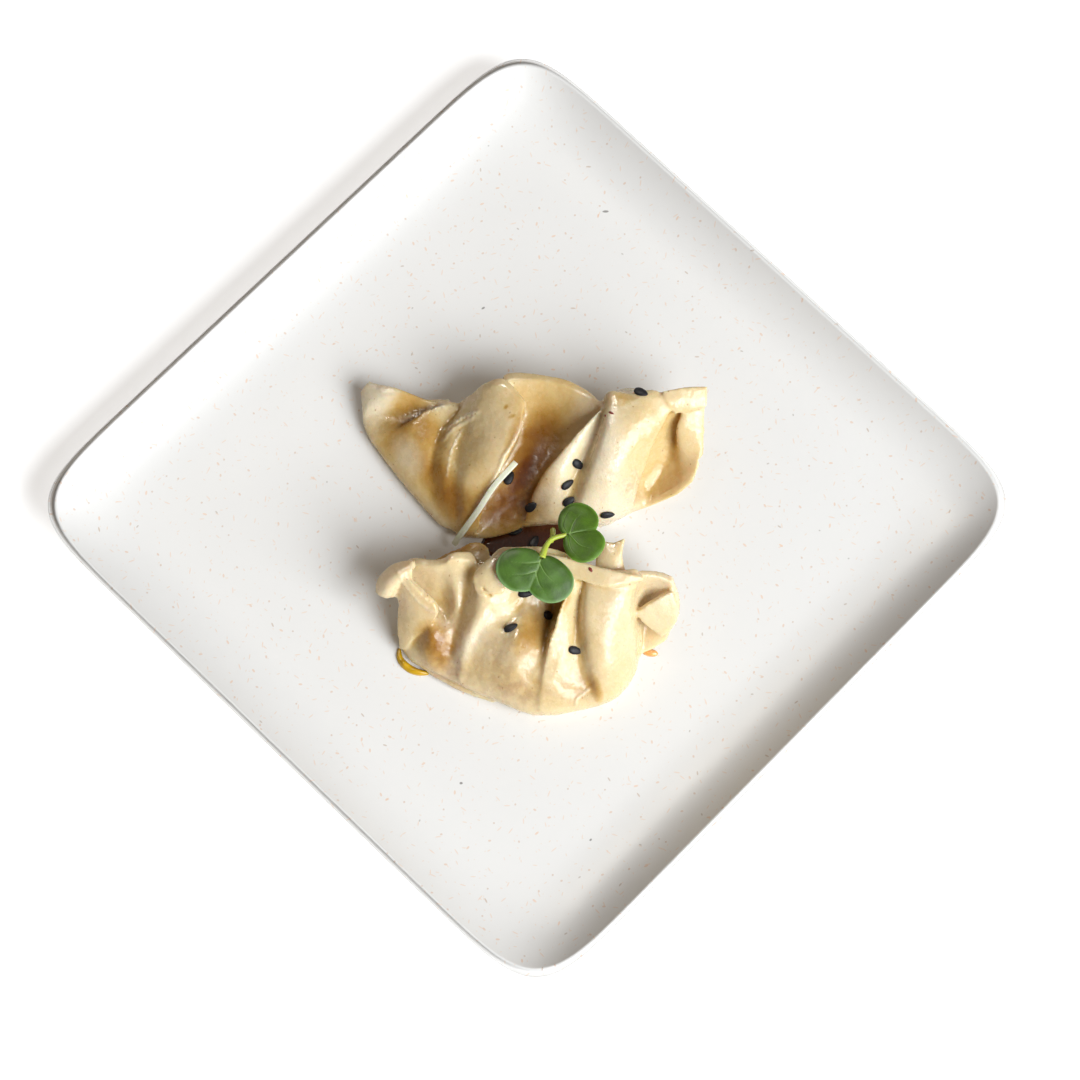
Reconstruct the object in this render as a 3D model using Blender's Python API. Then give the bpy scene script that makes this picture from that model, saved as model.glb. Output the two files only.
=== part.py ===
"""Two pleated gyoza, a sprout and a shred of spring onion on a square plate with turned-up sides.

The plate's sides lie along X and Y, and it stands on the ring under its floor at Z = 0. The food is laid
out for someone who looks at one corner of the plate, so it hangs on an empty that is turned that way.
Tables and helpers work in millimetres, and MM turns them into metres.
"""

import math
from collections import namedtuple

import bmesh
import bpy
import numpy as np
from mathutils import Matrix, Vector
from mathutils.bvhtree import BVHTree

MM = 0.001
GAP = 0.3  # between pieces that touch

# Plate: a square with rounded corners and a wall that curves up all round
PLATE_SIDE = 170.8
PLATE_HEIGHT = 11.5
PLATE_WALL, LIP = 1.8, 1.2
CORNER_REACH = 47.0  # how far from the corner its rounding starts
LIP_POWER, FLOOR_POWER = 6.6, 3.4  # of the superellipse that rounds a corner, at the lip and at the floor
WALL_RUN = 25.0  # from the side in to where the floor is level
WALL_CURVE = 3.5  # power of the wall's rise
FOOT_INSET = 36.0  # from the side in to the foot ring
FOOT_WIDTH = 4.0
FOOT_HEIGHT = 1.8
FLOOR = FOOT_HEIGHT + PLATE_WALL
CORNER_STEPS = 10
WALL_STEPS = 9
LIP_STEPS = 3

SERVING_TURN = math.radians(45)  # the food faces the plate's near corner
SERVING_PLACE = (-0.16, -1.37, 0.0)  # where the layout's middle lies, along the turned axes

# Dough
DOUGH = 1.9  # two layers pressed together
VOXEL = 0.6
KNEADING = 6  # smoothing passes
DUMPLING_FACES = 4200
NECK_AT, BELLY_AT, SOLE_AT = 0.29, 0.66, 0.985  # along a fold, from its seam to its foot
BRIM = 0.42  # height of a filled fold right above its foot, as a share of its belly
LAP_REACH = 0.86  # how far down a fold its crest can hang over
HEEL = 2.2  # how far the filled back stands out behind the seam
# The back, from under the seam down: lean towards the foot, share of the heel, step forwards and share of
# the height
BACK = ((0.08, 1, 0, 0.62), (0.15, 0.6, 0, 0.22), (0.2, 0.3, 1, 0))
CORE_AT = 0.6  # where the underside is halfway to the sole
FOLD_STEPS = 40
BETWEEN_FOLDS = 8

# One fold of a wrapper. Places are from the dumpling's centre, and heights from the plate's floor.
# seam, foot: its upper end, and where it meets the plate
# neck, belly: the height of the dough at NECK_AT and BELLY_AT
# bow: how far it bows to the right there
# lap: how far its crest hangs over its neighbour to the right or, below zero, to the left
# tuck: how deep the dough goes in under that crest
# gape: 1 where the crest stands free at the seam too, 0 where it is pinched shut
# fill: 1 over the filling, 0 where the wrapper is only a wing, whose edge is lift above the plate
# heel: how much further the back stands out
# reach: how far down the fold its crest hangs over, as a share
FOLD_PARTS = "seam foot neck belly bow lap tuck gape fill lift heel reach"
Fold = namedtuple("Fold", FOLD_PARTS, defaults=((0, 0), 0, 0, 0, 1, 0, 0, 1))

UPPER_CENTRE = (0.0, 13.0)
LOWER_CENTRE = (0.0, -23.0)
UPPER_FOLDS = {
    "wing_tip": Fold((-38, 19.5, 6), (-40, 17.5), 6, 5.5, fill=0, lift=2.5),
    "wing": Fold((-31, 17, 8), (-39.5, 13), 8, 6.5, fill=0, lift=2),
    "wing_crease": Fold((-24.5, 14, 8), (-39.3, 10), 7, 5.5, bow=(0.5, 1.5), fill=0.2, lift=1.5),
    "torn_edge": Fold(
        (-19, 12.5, 9.5), (-37.5, 5.5), 8.8, 7.5, bow=(-0.5, 1.5), lap=-0.6, tuck=1, fill=0.5, lift=1, reach=0.7
    ),
    "first_lobe": Fold((-17.5, 11.5, 10), (-32.5, -1.5), 9, 8.4, bow=(1, 1), fill=0.9),
    "first_lobe_end": Fold((-16.8, 11, 9.8), (-27.5, -8), 8.6, 7.8, bow=(-1, -0.5)),
    "first_valley": Fold((-16.2, 11, 10), (-21.5, -15), 8.6, 6.8, bow=(-4, -3.4)),
    "shoulder": Fold((-15.3, 11.5, 11.5), (-18.2, -16.8), 10.8, 8.8, bow=(-2.2, -2.9)),
    "flap_foot": Fold((-13.5, 12, 13.5), (-17, -17.7), 11.2, 9.4, bow=(-1.6, -1.8)),
    "flap_rise": Fold((-10.5, 13.5, 17), (-16, -18.4), 14.5, 11.6, bow=(0, -1)),
    "flap_top": Fold((-6, 14, 19), (-14.5, -18.6), 17.5, 13, bow=(1.9, 0)),
    "flap": Fold((-0.8, 8.5, 18.5), (-12.2, -18.8), 17, 12.5, bow=(1, -0.7), lap=5.5, tuck=6.5, gape=1),
    "gully_left": Fold((-6, 16, 15), (-9.5, -18.6), 9, 7, bow=(2.9, 2.2)),
    "gully": Fold((6.5, 15.5, 15.5), (-6, -18), 9, 7, bow=(1.1, 1.1)),
    "gully_right": Fold((14, 12, 16), (-3, -17), 10, 7.5, bow=(-1.3, -1.5)),
    "ridge": Fold((17, 8.5, 18), (-1, -16), 17, 12, bow=(-1.5, -2.8), lap=-2.5, tuck=6),
    "ridge_crown": Fold((17.4, 8.5, 18.4), (4, -15.5), 17.3, 13.8, bow=(-1, -1.8)),
    "crease": Fold((17.8, 9.5, 17.2), (8.5, -15.6), 15.2, 11.6, bow=(0.5, -0.4)),
    "lobe_start": Fold((18.8, 10.5, 19.8), (11.6, -16), 19.6, 15.8, bow=(0.9, 0.6)),
    "lobe": Fold((24, 9.5, 20.6), (18, -15.9), 20.4, 16.3, heel=3.5),
    "lobe_end": Fold((29.5, 10.5, 20.5), (22.5, -13.8), 19.2, 13.6, bow=(0.3, 0), heel=1),
    "lobe_edge": Fold(
        (34.5, 9.5, 19), (24.7, -12.5), 16.5, 10.5, bow=(-0.6, -0.6), lap=1.5, tuck=4, fill=0.6, lift=0.5
    ),
    "hollow": Fold((36.5, 9, 17), (28.5, -11.5), 9, 3.5, bow=(0, 0.3), fill=0.2, lift=1),
    "hollow_end": Fold((36.6, 8, 16), (33.5, -10), 9.5, 5.2, bow=(-0.2, 0.3), fill=0, lift=2.8),
    "inner_fold": Fold((37.3, 9.5, 18), (36.8, -8.4), 15.3, 8.8, bow=(-2, 0.4), fill=0, lift=4.4),
    "wing_slope": Fold((40, 10, 18), (39.4, -6.3), 16, 11.2, bow=(-0.6, 0.3), fill=0, lift=6.2),
    "wing_rim": Fold((42, 10, 17.5), (40.9, -2.6), 15.5, 12.6, bow=(0.2, 0.4), fill=0, lift=8.4),
}

LOWER_FOLDS = {
    "left_end": Fold((-30, 7, 13), (-30, -10.5), 10, 6, bow=(-0.6, -0.8), fill=0.5),
    "left_wall": Fold((-28, 7, 15), (-28, -13), 8.5, 7, bow=(0.2, 0.7)),
    "first_lobe": Fold((-23.5, 6, 17), (-24, -15.3), 9.5, 11, bow=(0.8, 0.2)),
    "lobe_shade": Fold((-20.7, 6, 18), (-22, -16.3), 10.2, 10.4, bow=(0.9, 1.2)),
    "first_pleat": Fold((-18.5, 7, 19.3), (-20, -17.4), 13.4, 9.4, bow=(1.4, 1.4)),
    "first_valley": Fold((-14, 7, 18.5), (-18.4, -18.3), 13, 9.6, bow=(-0.4, -1)),
    "second_rise": Fold((-12, 4, 19.5), (-17, -18.9), 16.6, 11.6, bow=(1.7, 0)),
    "second_pleat": Fold((-7.5, 7.5, 20.5), (-14.8, -20), 16.6, 11.8, bow=(3.6, -0.2)),
    "belly_start": Fold((-4, 8, 20.5), (-11.3, -21.6), 14, 12.8, bow=(3.9, 0.7)),
    "belly": Fold((0, 8, 20.5), (-6, -24), 13.6, 14.3, bow=(1.1, 0.4)),
    "belly_end": Fold((4.5, 7.5, 20.5), (-2.2, -25.6), 12.3, 13, bow=(0.7, 0.9)),
    "third_gap": Fold((8, 6.5, 20), (0.4, -26.3), 10.4, 12.6, bow=(-0.6, -0.8)),
    "third_pleat": Fold(
        (10.5, 4.5, 20.5), (1.9, -26.4), 18.6, 14.1, bow=(-1.4, -1.7), lap=-1.4, tuck=3.2, reach=0.45
    ),
    "third_slope": Fold((11.5, 4, 20.5), (6.5, -26.3), 16.9, 13.6, bow=(-0.6, -1.2)),
    "third_valley": Fold((12.3, 3, 19), (14.4, -24.6), 15.8, 12.3, bow=(-1.9, -2.3)),
    "fourth_pleat": Fold((13.3, 2.5, 19.8), (16.2, -24.1), 18.9, 14.8, bow=(-1.8, -1.6)),
    "last_lobe": Fold((18.5, 2, 20.5), (20.6, -22), 19.2, 15.6, bow=(-1.7, -1.6)),
    "last_lobe_end": Fold((24, 2.5, 20.5), (24.6, -17), 18, 11.5, bow=(-1.8, -0.7)),
    "hollow": Fold((26.5, 3, 18.5), (26.5, -11.5), 7.5, 4.5, bow=(0.8, 0.3), fill=0.3),
    "wing_slope": Fold((29.5, 3, 17.5), (29, -10.5), 8.5, 5.5, bow=(1.6, 1), fill=0, lift=1),
    "wing_rim": Fold((33, 2, 16.5), (32.5, -8.5), 11, 8.5, bow=(1.6, 1.3), fill=0, lift=2),
}

# Loose flaps of a wrapper: rails along them, side by side, and the sheet runs smoothly through all of them
UPPER_FLAPS = {
    "corner_peak": (
        ((31.5, 12, 19.6), (36.5, 13, 19.6), (42.3, 13.6, 18.5)),
        ((32.5, 9.5, 19), (37.5, 10.8, 18.7), (42.2, 11.6, 18)),
        ((34.5, 7.5, 17), (39, 8.5, 17.2), (42, 9, 17)),
    ),
}
LOWER_FLAPS = {
    "curl": (
        ((-27, 7, 17), (-32, 6.5, 16), (-35.5, 3.5, 14), (-36, 1, 12)),
        ((-28, 5, 18), (-31, 3.5, 17.5), (-33.5, 1, 15.5), (-34.5, 0, 13)),
        ((-28.5, 4, 15), (-30.5, 3, 13.5), (-31.5, 1.5, 12), (-32, 0.5, 11)),
    ),
    "triangle": (
        ((-31.6, 5.2, 15), (-30.6, 0, 11), (-31, -4.5, 7), (-30.6, -9.8, 2)),
        ((-31.6, 5.5, 16.6), (-28.8, 0.8, 15.2), (-27.2, -4.5, 11.2), (-29, -10, 3.5)),
        ((-31.3, 5.6, 17.4), (-27, 1.6, 16.8), (-21.8, -3.9, 14), (-27, -8.8, 6.5)),
    ),
    "tab": (
        ((-12.5, 4.5, 19), (-9.5, 6.5, 20.5), (-6, 7.5, 21)),
        ((-13.5, 2.3, 18.5), (-10, 3.5, 20.5), (-5.5, 4.2, 20.5)),
        ((-12.5, -0.5, 16.5), (-10, -1, 18), (-6.5, -1, 18.5)),
    ),
    "band": (
        ((-4.5, 8, 21), (4, 7.5, 21.3), (11, 5.7, 21.3), (17, 4, 21.3), (22, 3, 20.8), (26, 2.8, 19.5)),
        ((-3.5, 4.5, 19.8), (4, 3.7, 20), (11, 1.5, 20.3), (17.5, -0.2, 20.3), (22.5, 0.8, 19.8), (26, 2, 18.5)),
    ),
    "right_fold": (
        ((33, 0.5, 15), (34.5, -3, 12), (34, -6, 9.5), (31, -8.5, 6.5)),
        ((29, -1.5, 14.5), (30, -4, 12), (30, -6, 10), (29.5, -7.5, 7.5)),
        ((24.5, -4, 12.5), (25, -4.5, 12), (26, -5.5, 10.5), (28, -7, 8.5)),
    ),
    "back_left": (
        ((-23.6, 9, 7.5), (-20.5, 10.6, 8.5), (-16.5, 11.8, 10.5), (-12.8, 13, 12), (-10, 11.3, 12)),
        ((-22, 5.5, 9), (-19, 6, 11), (-15, 6.5, 13), (-12, 7, 13.5), (-9.5, 7.5, 13.5)),
    ),
    "back_right": (
        ((15.6, 11, 17.2), (17.7, 11.5, 18), (19.4, 11.1, 18.3), (22.2, 12.1, 19.2)),
        ((15.4, 8, 17), (17.4, 8, 17.8), (19.4, 7.8, 18.2), (21.4, 8.4, 18.2)),
        ((15, 4, 16.5), (17.5, 4, 17), (19.8, 4, 17), (22, 4.2, 16)),
    ),
    "skirt": (
        ((-27.5, -13, 1), (-21.8, -17.3, 1), (-15, -20.6, 1), (-8.5, -23, 1)),
        ((-25, -10.5, 2.4), (-19.8, -13.5, 2.8), (-13.6, -17, 3), (-7.8, -19.8, 3)),
    ),
}


# Sesame: where each seed lies, and how far it is turned from pointing right
SEED_LENGTH, SEED_WIDTH, SEED_THICKNESS = 3.5, 2.2, 1.1
SEED_SUNK = 0.25  # how deep a seed lies in the dough
SEED_SIDES, SEED_RINGS = 6, 4
UPPER_SEEDS = (
    (11.5, -4, -35), (9, -8.3, 35), (9.5, -11.7, 40), (9.7, -13.6, 40), (0.6, -13, 35),
    (18.6, -14.9, -8), (-4.6, -5.5, 60), (26.5, 11.5, -30),
)  # fmt: skip
LOWER_SEEDS = ((4, -4.4, -10), (-4.8, -8.3, 15), (10, -13.6, -15), (-1.5, 0, 0))

# Sprout: two heart-shaped leaves on short stalks
LEAF_THICKNESS = 0.45
LEAF_ANGLES, LEAF_RINGS = 30, 5
Leaf = namedtuple("Leaf", "joint heading reach pitch roll droop outline")
LEAVES = {
    "leaf_near": Leaf((2.1, -16.9, 26.8), -110, 10.9, 8, -7, 1.4,
                      ((0, 0.76), (9, 0.84), (28, 0.97), (58, 1.0), (80, 0.8), (98, 0.45), (125, 0.12))),
    "leaf_far": Leaf((8.3, -11.0, 25.6), 12, 9.0, 1, -6, 1.2,
                     ((0, 0.77), (9, 0.88), (24, 1.0), (58, 0.97), (85, 0.75), (112, 0.4), (140, 0.12))),
}  # fmt: skip
STALK_RADIUS = 0.65
STALK_SIDES = 8
STALK_ROUTE = ((2.6, -15.8, 26.8), (3.4, -13.8, 26.4), (4.8, -12.1, 25.9), (6.8, -11.2, 25.6))
STUB_ROUTE = ((4.6, -12.6, 25.6), (5.0, -10.4, 23.5), (5.2, -8.4, 20.5))

# Shred of spring onion
SHRED_ROUTE = ((-3.2, 9.3, 17.4), (-8.4, 3.6, 16.8), (-12.2, -1.6, 14.0), (-15.3, -5.0, 10.2), (-17.8, -7.6, 6.4))
SHRED_WIDTH, SHRED_DEPTH = 1.4, 0.9

# Mustard and sauce that came out at the sides
DAB_ROUTE = ((-31.2, -32.5), (-31.1, -35.1), (-29.3, -37.5), (-27, -38.7), (-24.3, -39.2))
DAB_WIDTH, DAB_HEIGHT = 1.9, 1.2
DROP_CENTRE = (28.6, -33.9)
DROP_SIZE = (3.8, 1.9, 0.9)

COLOURS = {  # base colour and roughness
    "plate": ((0.86, 0.85, 0.83), 0.45),
    "dough": ((0.78, 0.62, 0.4), 0.35),
    "leaf": ((0.1, 0.24, 0.06), 0.45),
    "stalk": ((0.4, 0.5, 0.14), 0.4),
    "shred": ((0.68, 0.7, 0.5), 0.4),
    "mustard": ((0.75, 0.47, 0.02), 0.4),
    "sauce": ((0.8, 0.35, 0.12), 0.25),
}


# Scene and meshes


def clear_scene():
    for obj in list(bpy.data.objects):
        bpy.data.objects.remove(obj)


def finish_of(name):
    """The material of this name, made once."""
    made = bpy.data.materials.get(name)
    if made:
        return made
    made = bpy.data.materials.new(name)
    made.use_nodes = True
    shader = made.node_tree.nodes["Principled BSDF"]
    colour, roughness = COLOURS[name]
    shader.inputs["Base Color"].default_value = (*colour, 1)
    shader.inputs["Roughness"].default_value = roughness
    shader.inputs["Metallic"].default_value = 0
    return made


def new_piece(name, mesh, finish, parent=None):
    piece = bpy.data.objects.new(name, mesh)
    bpy.context.scene.collection.objects.link(piece)
    mesh.materials.clear()
    mesh.materials.append(finish_of(finish))
    mesh.shade_smooth()
    piece.parent = parent
    return piece


def mesh_from(name, points, faces):
    """A mesh from points in millimetres, with its faces turned outwards."""
    mesh = bpy.data.meshes.new(name)
    mesh.from_pydata([tuple(point) for point in np.asarray(points) * MM], [], faces)
    shape = bmesh.new()
    shape.from_mesh(mesh)
    bmesh.ops.recalc_face_normals(shape, faces=shape.faces)
    shape.to_mesh(mesh)
    shape.free()
    return mesh


def bake(piece):
    """Applies the piece's modifiers."""
    graph = bpy.context.evaluated_depsgraph_get()
    baked = bpy.data.meshes.new_from_object(piece.evaluated_get(graph))
    piece.modifiers.clear()
    piece.data = baked
    return piece


def fuse(piece, extras):
    """Joins the extra objects to the piece with one Boolean union, and removes them."""
    group = bpy.data.collections.new(piece.name + "_extras")
    bpy.context.scene.collection.children.link(group)
    for extra in extras:
        bpy.context.scene.collection.objects.unlink(extra)
        group.objects.link(extra)
    union = piece.modifiers.new("union", "BOOLEAN")
    union.operation = "UNION"
    union.operand_type = "COLLECTION"
    union.collection = group
    bpy.context.view_layer.update()
    bake(piece)
    for extra in extras:
        bpy.data.objects.remove(extra)
    bpy.data.collections.remove(group)
    return piece


# Curves and shells


def smooth(points, steps):
    """A centripetal Catmull-Rom curve through the points, or through whole rows of points at once."""
    p = np.asarray(points, float)
    spans = np.linalg.norm(np.diff(p, axis=0), axis=-1).reshape(len(p) - 1, -1).mean(axis=1)
    gaps = np.sqrt(np.maximum(spans, 0.05)).reshape((-1,) + (1,) * (p.ndim - 1))
    slopes = np.diff(p, axis=0) / gaps
    inner = (slopes[:-1] * gaps[1:] + slopes[1:] * gaps[:-1]) / (gaps[:-1] + gaps[1:])
    tangents = np.concatenate((slopes[:1], inner, slopes[-1:]))
    rows = []
    for k, gap in enumerate(gaps):
        for t in np.arange(steps) / steps:
            ahead, behind = t * t * (3 - 2 * t), (1 + 2 * t) * (1 - t) ** 2
            turn = t * (1 - t) * ((1 - t) * tangents[k] - t * tangents[k + 1])
            rows.append(behind * p[k] + ahead * p[k + 1] + turn * gap)
    return np.array(rows + [p[-1]])


def even(points, count):
    """The same curve as count + 1 points at equal distances along it."""
    p = np.asarray(points, float)
    along = np.concatenate(([0], np.cumsum(np.linalg.norm(np.diff(p, axis=0), axis=1))))
    wanted = np.linspace(0, along[-1], count + 1)
    return np.stack([np.interp(wanted, along, column) for column in p.T], axis=1)


def normals_of(grid):
    """Unit normals of a grid of points, evened out along its rows, on the side that mostly looks up."""
    across, along = np.gradient(grid, axis=0), np.gradient(grid, axis=1)
    normals = np.cross(across, along)
    for _ in range(3):
        ends = np.concatenate((normals[:1], normals, normals[-1:]))
        normals = ends[:-2] + 2 * ends[1:-1] + ends[2:]
    normals /= np.maximum(np.linalg.norm(normals, axis=-1, keepdims=True), 1e-6)
    return normals if normals[..., 2].mean() > 0 else -normals


def grid_faces(rows, columns, start=0, closed=False):
    """Quads of a grid, whose last row also joins its first when it is closed."""
    faces = []
    for i in range(rows if closed else rows - 1):
        for j in range(columns - 1):
            a, b = start + i * columns + j, start + (i + 1) % rows * columns + j
            faces.append((a, b, b + 1, a + 1))
    return faces


def shell_between(front, back):
    """Points and faces of the closed skin between two grids of the same size."""
    rows, columns = front.shape[:2]
    size = rows * columns
    edge = [(i, 0) for i in range(rows)] + [(rows - 1, j) for j in range(1, columns)]
    edge += [(i, columns - 1) for i in range(rows - 2, -1, -1)] + [(0, j) for j in range(columns - 2, 0, -1)]
    loop = [i * columns + j for i, j in edge]
    rim = [(a, b, b + size, a + size) for a, b in zip(loop, loop[1:] + loop[:1])]
    points = np.concatenate((front.reshape(-1, 3), back.reshape(-1, 3)))
    return points, grid_faces(rows, columns) + grid_faces(rows, columns, size) + rim


def joined(shells):
    """Points and faces of several shells as one list of each."""
    points, faces = [], []
    for shell_points, shell_faces in shells:
        start = sum(len(part) for part in points)
        points.append(shell_points)
        faces += [tuple(corner + start for corner in face) for face in shell_faces]
    return np.concatenate(points), faces


# Dumplings


def fold_lines(fold):
    """The outer line of a fold, its line on the back, and how full it is there, from the seam to the foot."""
    seam, foot = np.array(fold.seam, float), np.array((*fold.foot, 0.0))

    def station(share, height, bow=0.0):
        place = seam + (foot - seam) * share
        return place[0] + bow, place[1], height

    brim = fold.fill * BRIM * fold.belly + (1 - fold.fill) * (fold.lift + DOUGH)
    sole = (1 - fold.fill) * (fold.lift + DOUGH / 2)
    outer = (
        fold.seam,
        station(NECK_AT, fold.neck, fold.bow[0]),
        station(BELLY_AT, fold.belly, fold.bow[1]),
        station(1, brim),
        station(SOLE_AT, sole),
    )
    x, y, top = fold.seam
    reach = HEEL + fold.heel
    back = [(x, y + DOUGH, top - DOUGH / 4)]
    back += [(x + (foot[0] - x) * lean, y + reach * out - shift, top * rise) for lean, out, shift, rise in BACK]
    inner = back + [station(CORE_AT, 0), station(SOLE_AT, 0)]
    return even(smooth(outer, 12), FOLD_STEPS), even(smooth(inner, 12), FOLD_STEPS), fold.fill


def tucked_under(line, fold):
    """The line that a lapping crest covers: further back and deeper, most of all halfway down."""
    t = np.linspace(0, 1, FOLD_STEPS + 1)
    share = np.clip(t / (LAP_REACH * fold.reach), 0, 1)
    pinched = np.sin(np.pi * share).clip(0) ** 0.7
    free = np.cos(np.pi / 2 * share).clip(0) ** 0.6
    depth = (1 - fold.gape) * pinched + fold.gape * free
    under = line - depth[:, None] * np.array((fold.lap, 0, fold.tuck))
    under[:, 2] = np.maximum(under[:, 2], np.minimum(line[:, 2], 1.0))
    return under


def wrapper(folds):
    """The closed skin of a pleated dumpling."""
    outer, inner, fills = [], [], []
    for fold in folds.values():
        line, back, fill = fold_lines(fold)
        pair = [line, tucked_under(line, fold)] if fold.lap else [line]
        for each in pair if fold.lap > 0 else pair[::-1]:
            outer.append(each)
            inner.append(back)
            fills.append(np.full((FOLD_STEPS + 1, 1), fill, float))
    front = smooth(outer, BETWEEN_FOLDS)
    filled = smooth(inner, BETWEEN_FOLDS)
    fill = np.clip(smooth(fills, BETWEEN_FOLDS), 0, 1)
    thin = front - DOUGH * normals_of(front)
    return shell_between(front, fill * filled + (1 - fill) * thin)


def loose_flap(rails, steps=6):
    """The closed skin of a flap of dough through its rails."""
    middle = smooth([smooth(rail, steps) for rail in rails], steps)
    out = 0.5 * DOUGH * normals_of(middle)
    return shell_between(middle + out, middle - out)


def cut_flat(mesh, level):
    """Cuts away what is below this height, and closes the cut."""
    shape = bmesh.new()
    shape.from_mesh(mesh)
    everything = shape.verts[:] + shape.edges[:] + shape.faces[:]
    bmesh.ops.bisect_plane(
        shape, geom=everything, dist=1e-7, plane_co=(0, 0, level * MM), plane_no=(0, 0, 1), clear_inner=True
    )
    bmesh.ops.holes_fill(shape, edges=[edge for edge in shape.edges if edge.is_boundary])
    bmesh.ops.triangulate(shape, faces=shape.faces)
    bmesh.ops.recalc_face_normals(shape, faces=shape.faces)
    shape.to_mesh(mesh)
    shape.free()


def keep_largest(mesh):
    """Drops the crumbs that remeshing leaves apart from the body."""
    shape = bmesh.new()
    shape.from_mesh(mesh)
    islands, seen = [], set()
    for start in shape.verts:
        if start in seen:
            continue
        island, stack = [], [start]
        seen.add(start)
        while stack:
            vertex = stack.pop()
            island.append(vertex)
            for edge in vertex.link_edges:
                other = edge.other_vert(vertex)
                if other not in seen:
                    seen.add(other)
                    stack.append(other)
        islands.append(island)
    islands.sort(key=len)
    for island in islands[:-1]:
        bmesh.ops.delete(shape, geom=island, context="VERTS")
    shape.to_mesh(mesh)
    shape.free()


def knead(piece):
    """Turns the crossing skins into one soft body with few faces and a flat underside."""
    remesh = piece.modifiers.new("remesh", "REMESH")
    remesh.mode = "VOXEL"
    remesh.voxel_size = VOXEL * MM
    soften = piece.modifiers.new("soften", "SMOOTH")
    soften.iterations = KNEADING
    soften.factor = 0.5
    bake(piece)
    keep_largest(piece.data)
    thin_out = piece.modifiers.new("thin_out", "DECIMATE")
    thin_out.ratio = min(1, DUMPLING_FACES / (2 * len(piece.data.vertices)))
    bake(piece)
    cut_flat(piece.data, VOXEL / 2)
    return piece


def seed_mesh(name):
    """A sesame seed: a flat drop, pointed at its right end."""
    points = [(-SEED_LENGTH / 2, 0, 0)]
    for ring in range(1, SEED_RINGS):
        turn = math.pi * ring / SEED_RINGS
        along = -math.cos(turn)
        breadth = math.sin(turn) ** 1.1 * (1 - 0.22 * along)
        for side in range(SEED_SIDES):
            angle = 2 * math.pi * side / SEED_SIDES
            width = SEED_WIDTH / 2 * breadth * math.cos(angle)
            thick = SEED_THICKNESS / 2 * breadth * math.sin(angle)
            points.append((along * SEED_LENGTH / 2, width, thick))
    points.append((SEED_LENGTH / 2, 0, 0))
    rings = SEED_RINGS - 1
    faces = []
    for side in range(SEED_SIDES):
        after = (side + 1) % SEED_SIDES
        faces.append((0, 1 + side, 1 + after))
        for ring in range(rings - 1):
            a, b = 1 + ring * SEED_SIDES, 1 + (ring + 1) * SEED_SIDES
            faces.append((a + side, b + side, b + after, a + after))
        last = 1 + (rings - 1) * SEED_SIDES
        faces.append((last + side, len(points) - 1, last + after))
    return mesh_from(name, points, faces)


def scatter_seeds(piece, seeds):
    """Lays the seeds on the dough where a fall from above lands, each flat against it, and fuses them."""
    shape = bmesh.new()
    shape.from_mesh(piece.data)
    dough = BVHTree.FromBMesh(shape)
    shape.free()
    laid = []
    for number, (x, y, turn) in enumerate(seeds):
        place, normal, *_ = dough.ray_cast(Vector((x * MM, y * MM, 1)), Vector((0, 0, -1)))
        if place is None:
            raise RuntimeError(f"seed {number} of {piece.name} falls beside it")
        seed = new_piece(f"{piece.name}_seed_{number}", seed_mesh("seed"), "dough", piece.parent)
        upright = normal.to_track_quat("Z", "Y").to_matrix().to_4x4()
        flat = Vector((math.cos(math.radians(turn)), math.sin(math.radians(turn)), 0))
        ahead = (flat - normal * flat.dot(normal)).normalized()
        side = normal.cross(ahead)
        for column, axis in enumerate((ahead, side, normal)):
            for row in range(3):
                upright[row][column] = axis[row]
        centre = place + normal * (SEED_THICKNESS / 2 - SEED_SUNK) * MM
        seed.data.transform(Matrix.Translation(centre) @ upright)
        seed.location = piece.location
        laid.append(seed)
    return fuse(piece, laid)


def gyoza(name, folds, flaps, seeds, centre, table):
    points, faces = joined([wrapper(folds)] + [loose_flap(rails) for rails in flaps.values()])
    points = points - np.array((0, 0, VOXEL / 2))
    piece = new_piece(name, mesh_from(name, points, faces), "dough", table)
    piece.location = (centre[0] * MM, centre[1] * MM, (FLOOR + GAP - VOXEL / 2) * MM)
    knead(piece)
    return scatter_seeds(piece, seeds)


# Plate


def rounded_square(half, reach, power):
    """Corner after corner, as points in the plane."""
    turns = np.linspace(0, math.pi / 2, CORNER_STEPS + 1)
    x = half - reach + reach * np.cos(turns).clip(0) ** (2 / power)
    y = half - reach + reach * np.sin(turns).clip(0) ** (2 / power)
    corner = np.stack((x, y), axis=1)
    return np.concatenate([corner, corner[:, ::-1] * (-1, 1), -corner, corner[:, ::-1] * (1, -1)])


def plate_profile():
    """From the middle of the underside, over the lip, to the middle of the floor, as (inset, height)."""
    insets = np.linspace(0, WALL_RUN, WALL_STEPS + 1)
    rise = (1 - insets / WALL_RUN) ** WALL_CURVE
    inner = np.stack((insets, FLOOR + (PLATE_HEIGHT - FLOOR) * rise), axis=1)
    ahead = np.gradient(inner, axis=0)
    outward = np.stack((ahead[:, 1], -ahead[:, 0]), axis=1) / np.linalg.norm(ahead, axis=1)[:, None]
    wall = LIP + (PLATE_WALL - LIP) * np.minimum(1, 2 * insets / WALL_RUN)
    outer = inner + wall[:, None] * outward
    middle, start = (inner[0] + outer[0]) / 2, (outer[0] - inner[0]) / 2
    across = np.array((start[1], -start[0]))
    turns = np.linspace(0, math.pi, LIP_STEPS + 2)[1:-1]
    lip = [middle + start * math.cos(turn) - across * math.sin(turn) for turn in turns]
    foot = FOOT_INSET
    under = [
        (foot + FOOT_WIDTH + FOOT_HEIGHT, FOOT_HEIGHT),
        (foot + FOOT_WIDTH, 0),
        (foot, 0),
        (foot - FOOT_HEIGHT, FOOT_HEIGHT),
    ]
    profile = np.array(under + list(outer[::-1]) + lip + list(inner))
    profile[:, 0] -= profile[:, 0].min()
    profile[:, 1] *= PLATE_HEIGHT / profile[:, 1].max()
    return profile


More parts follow.
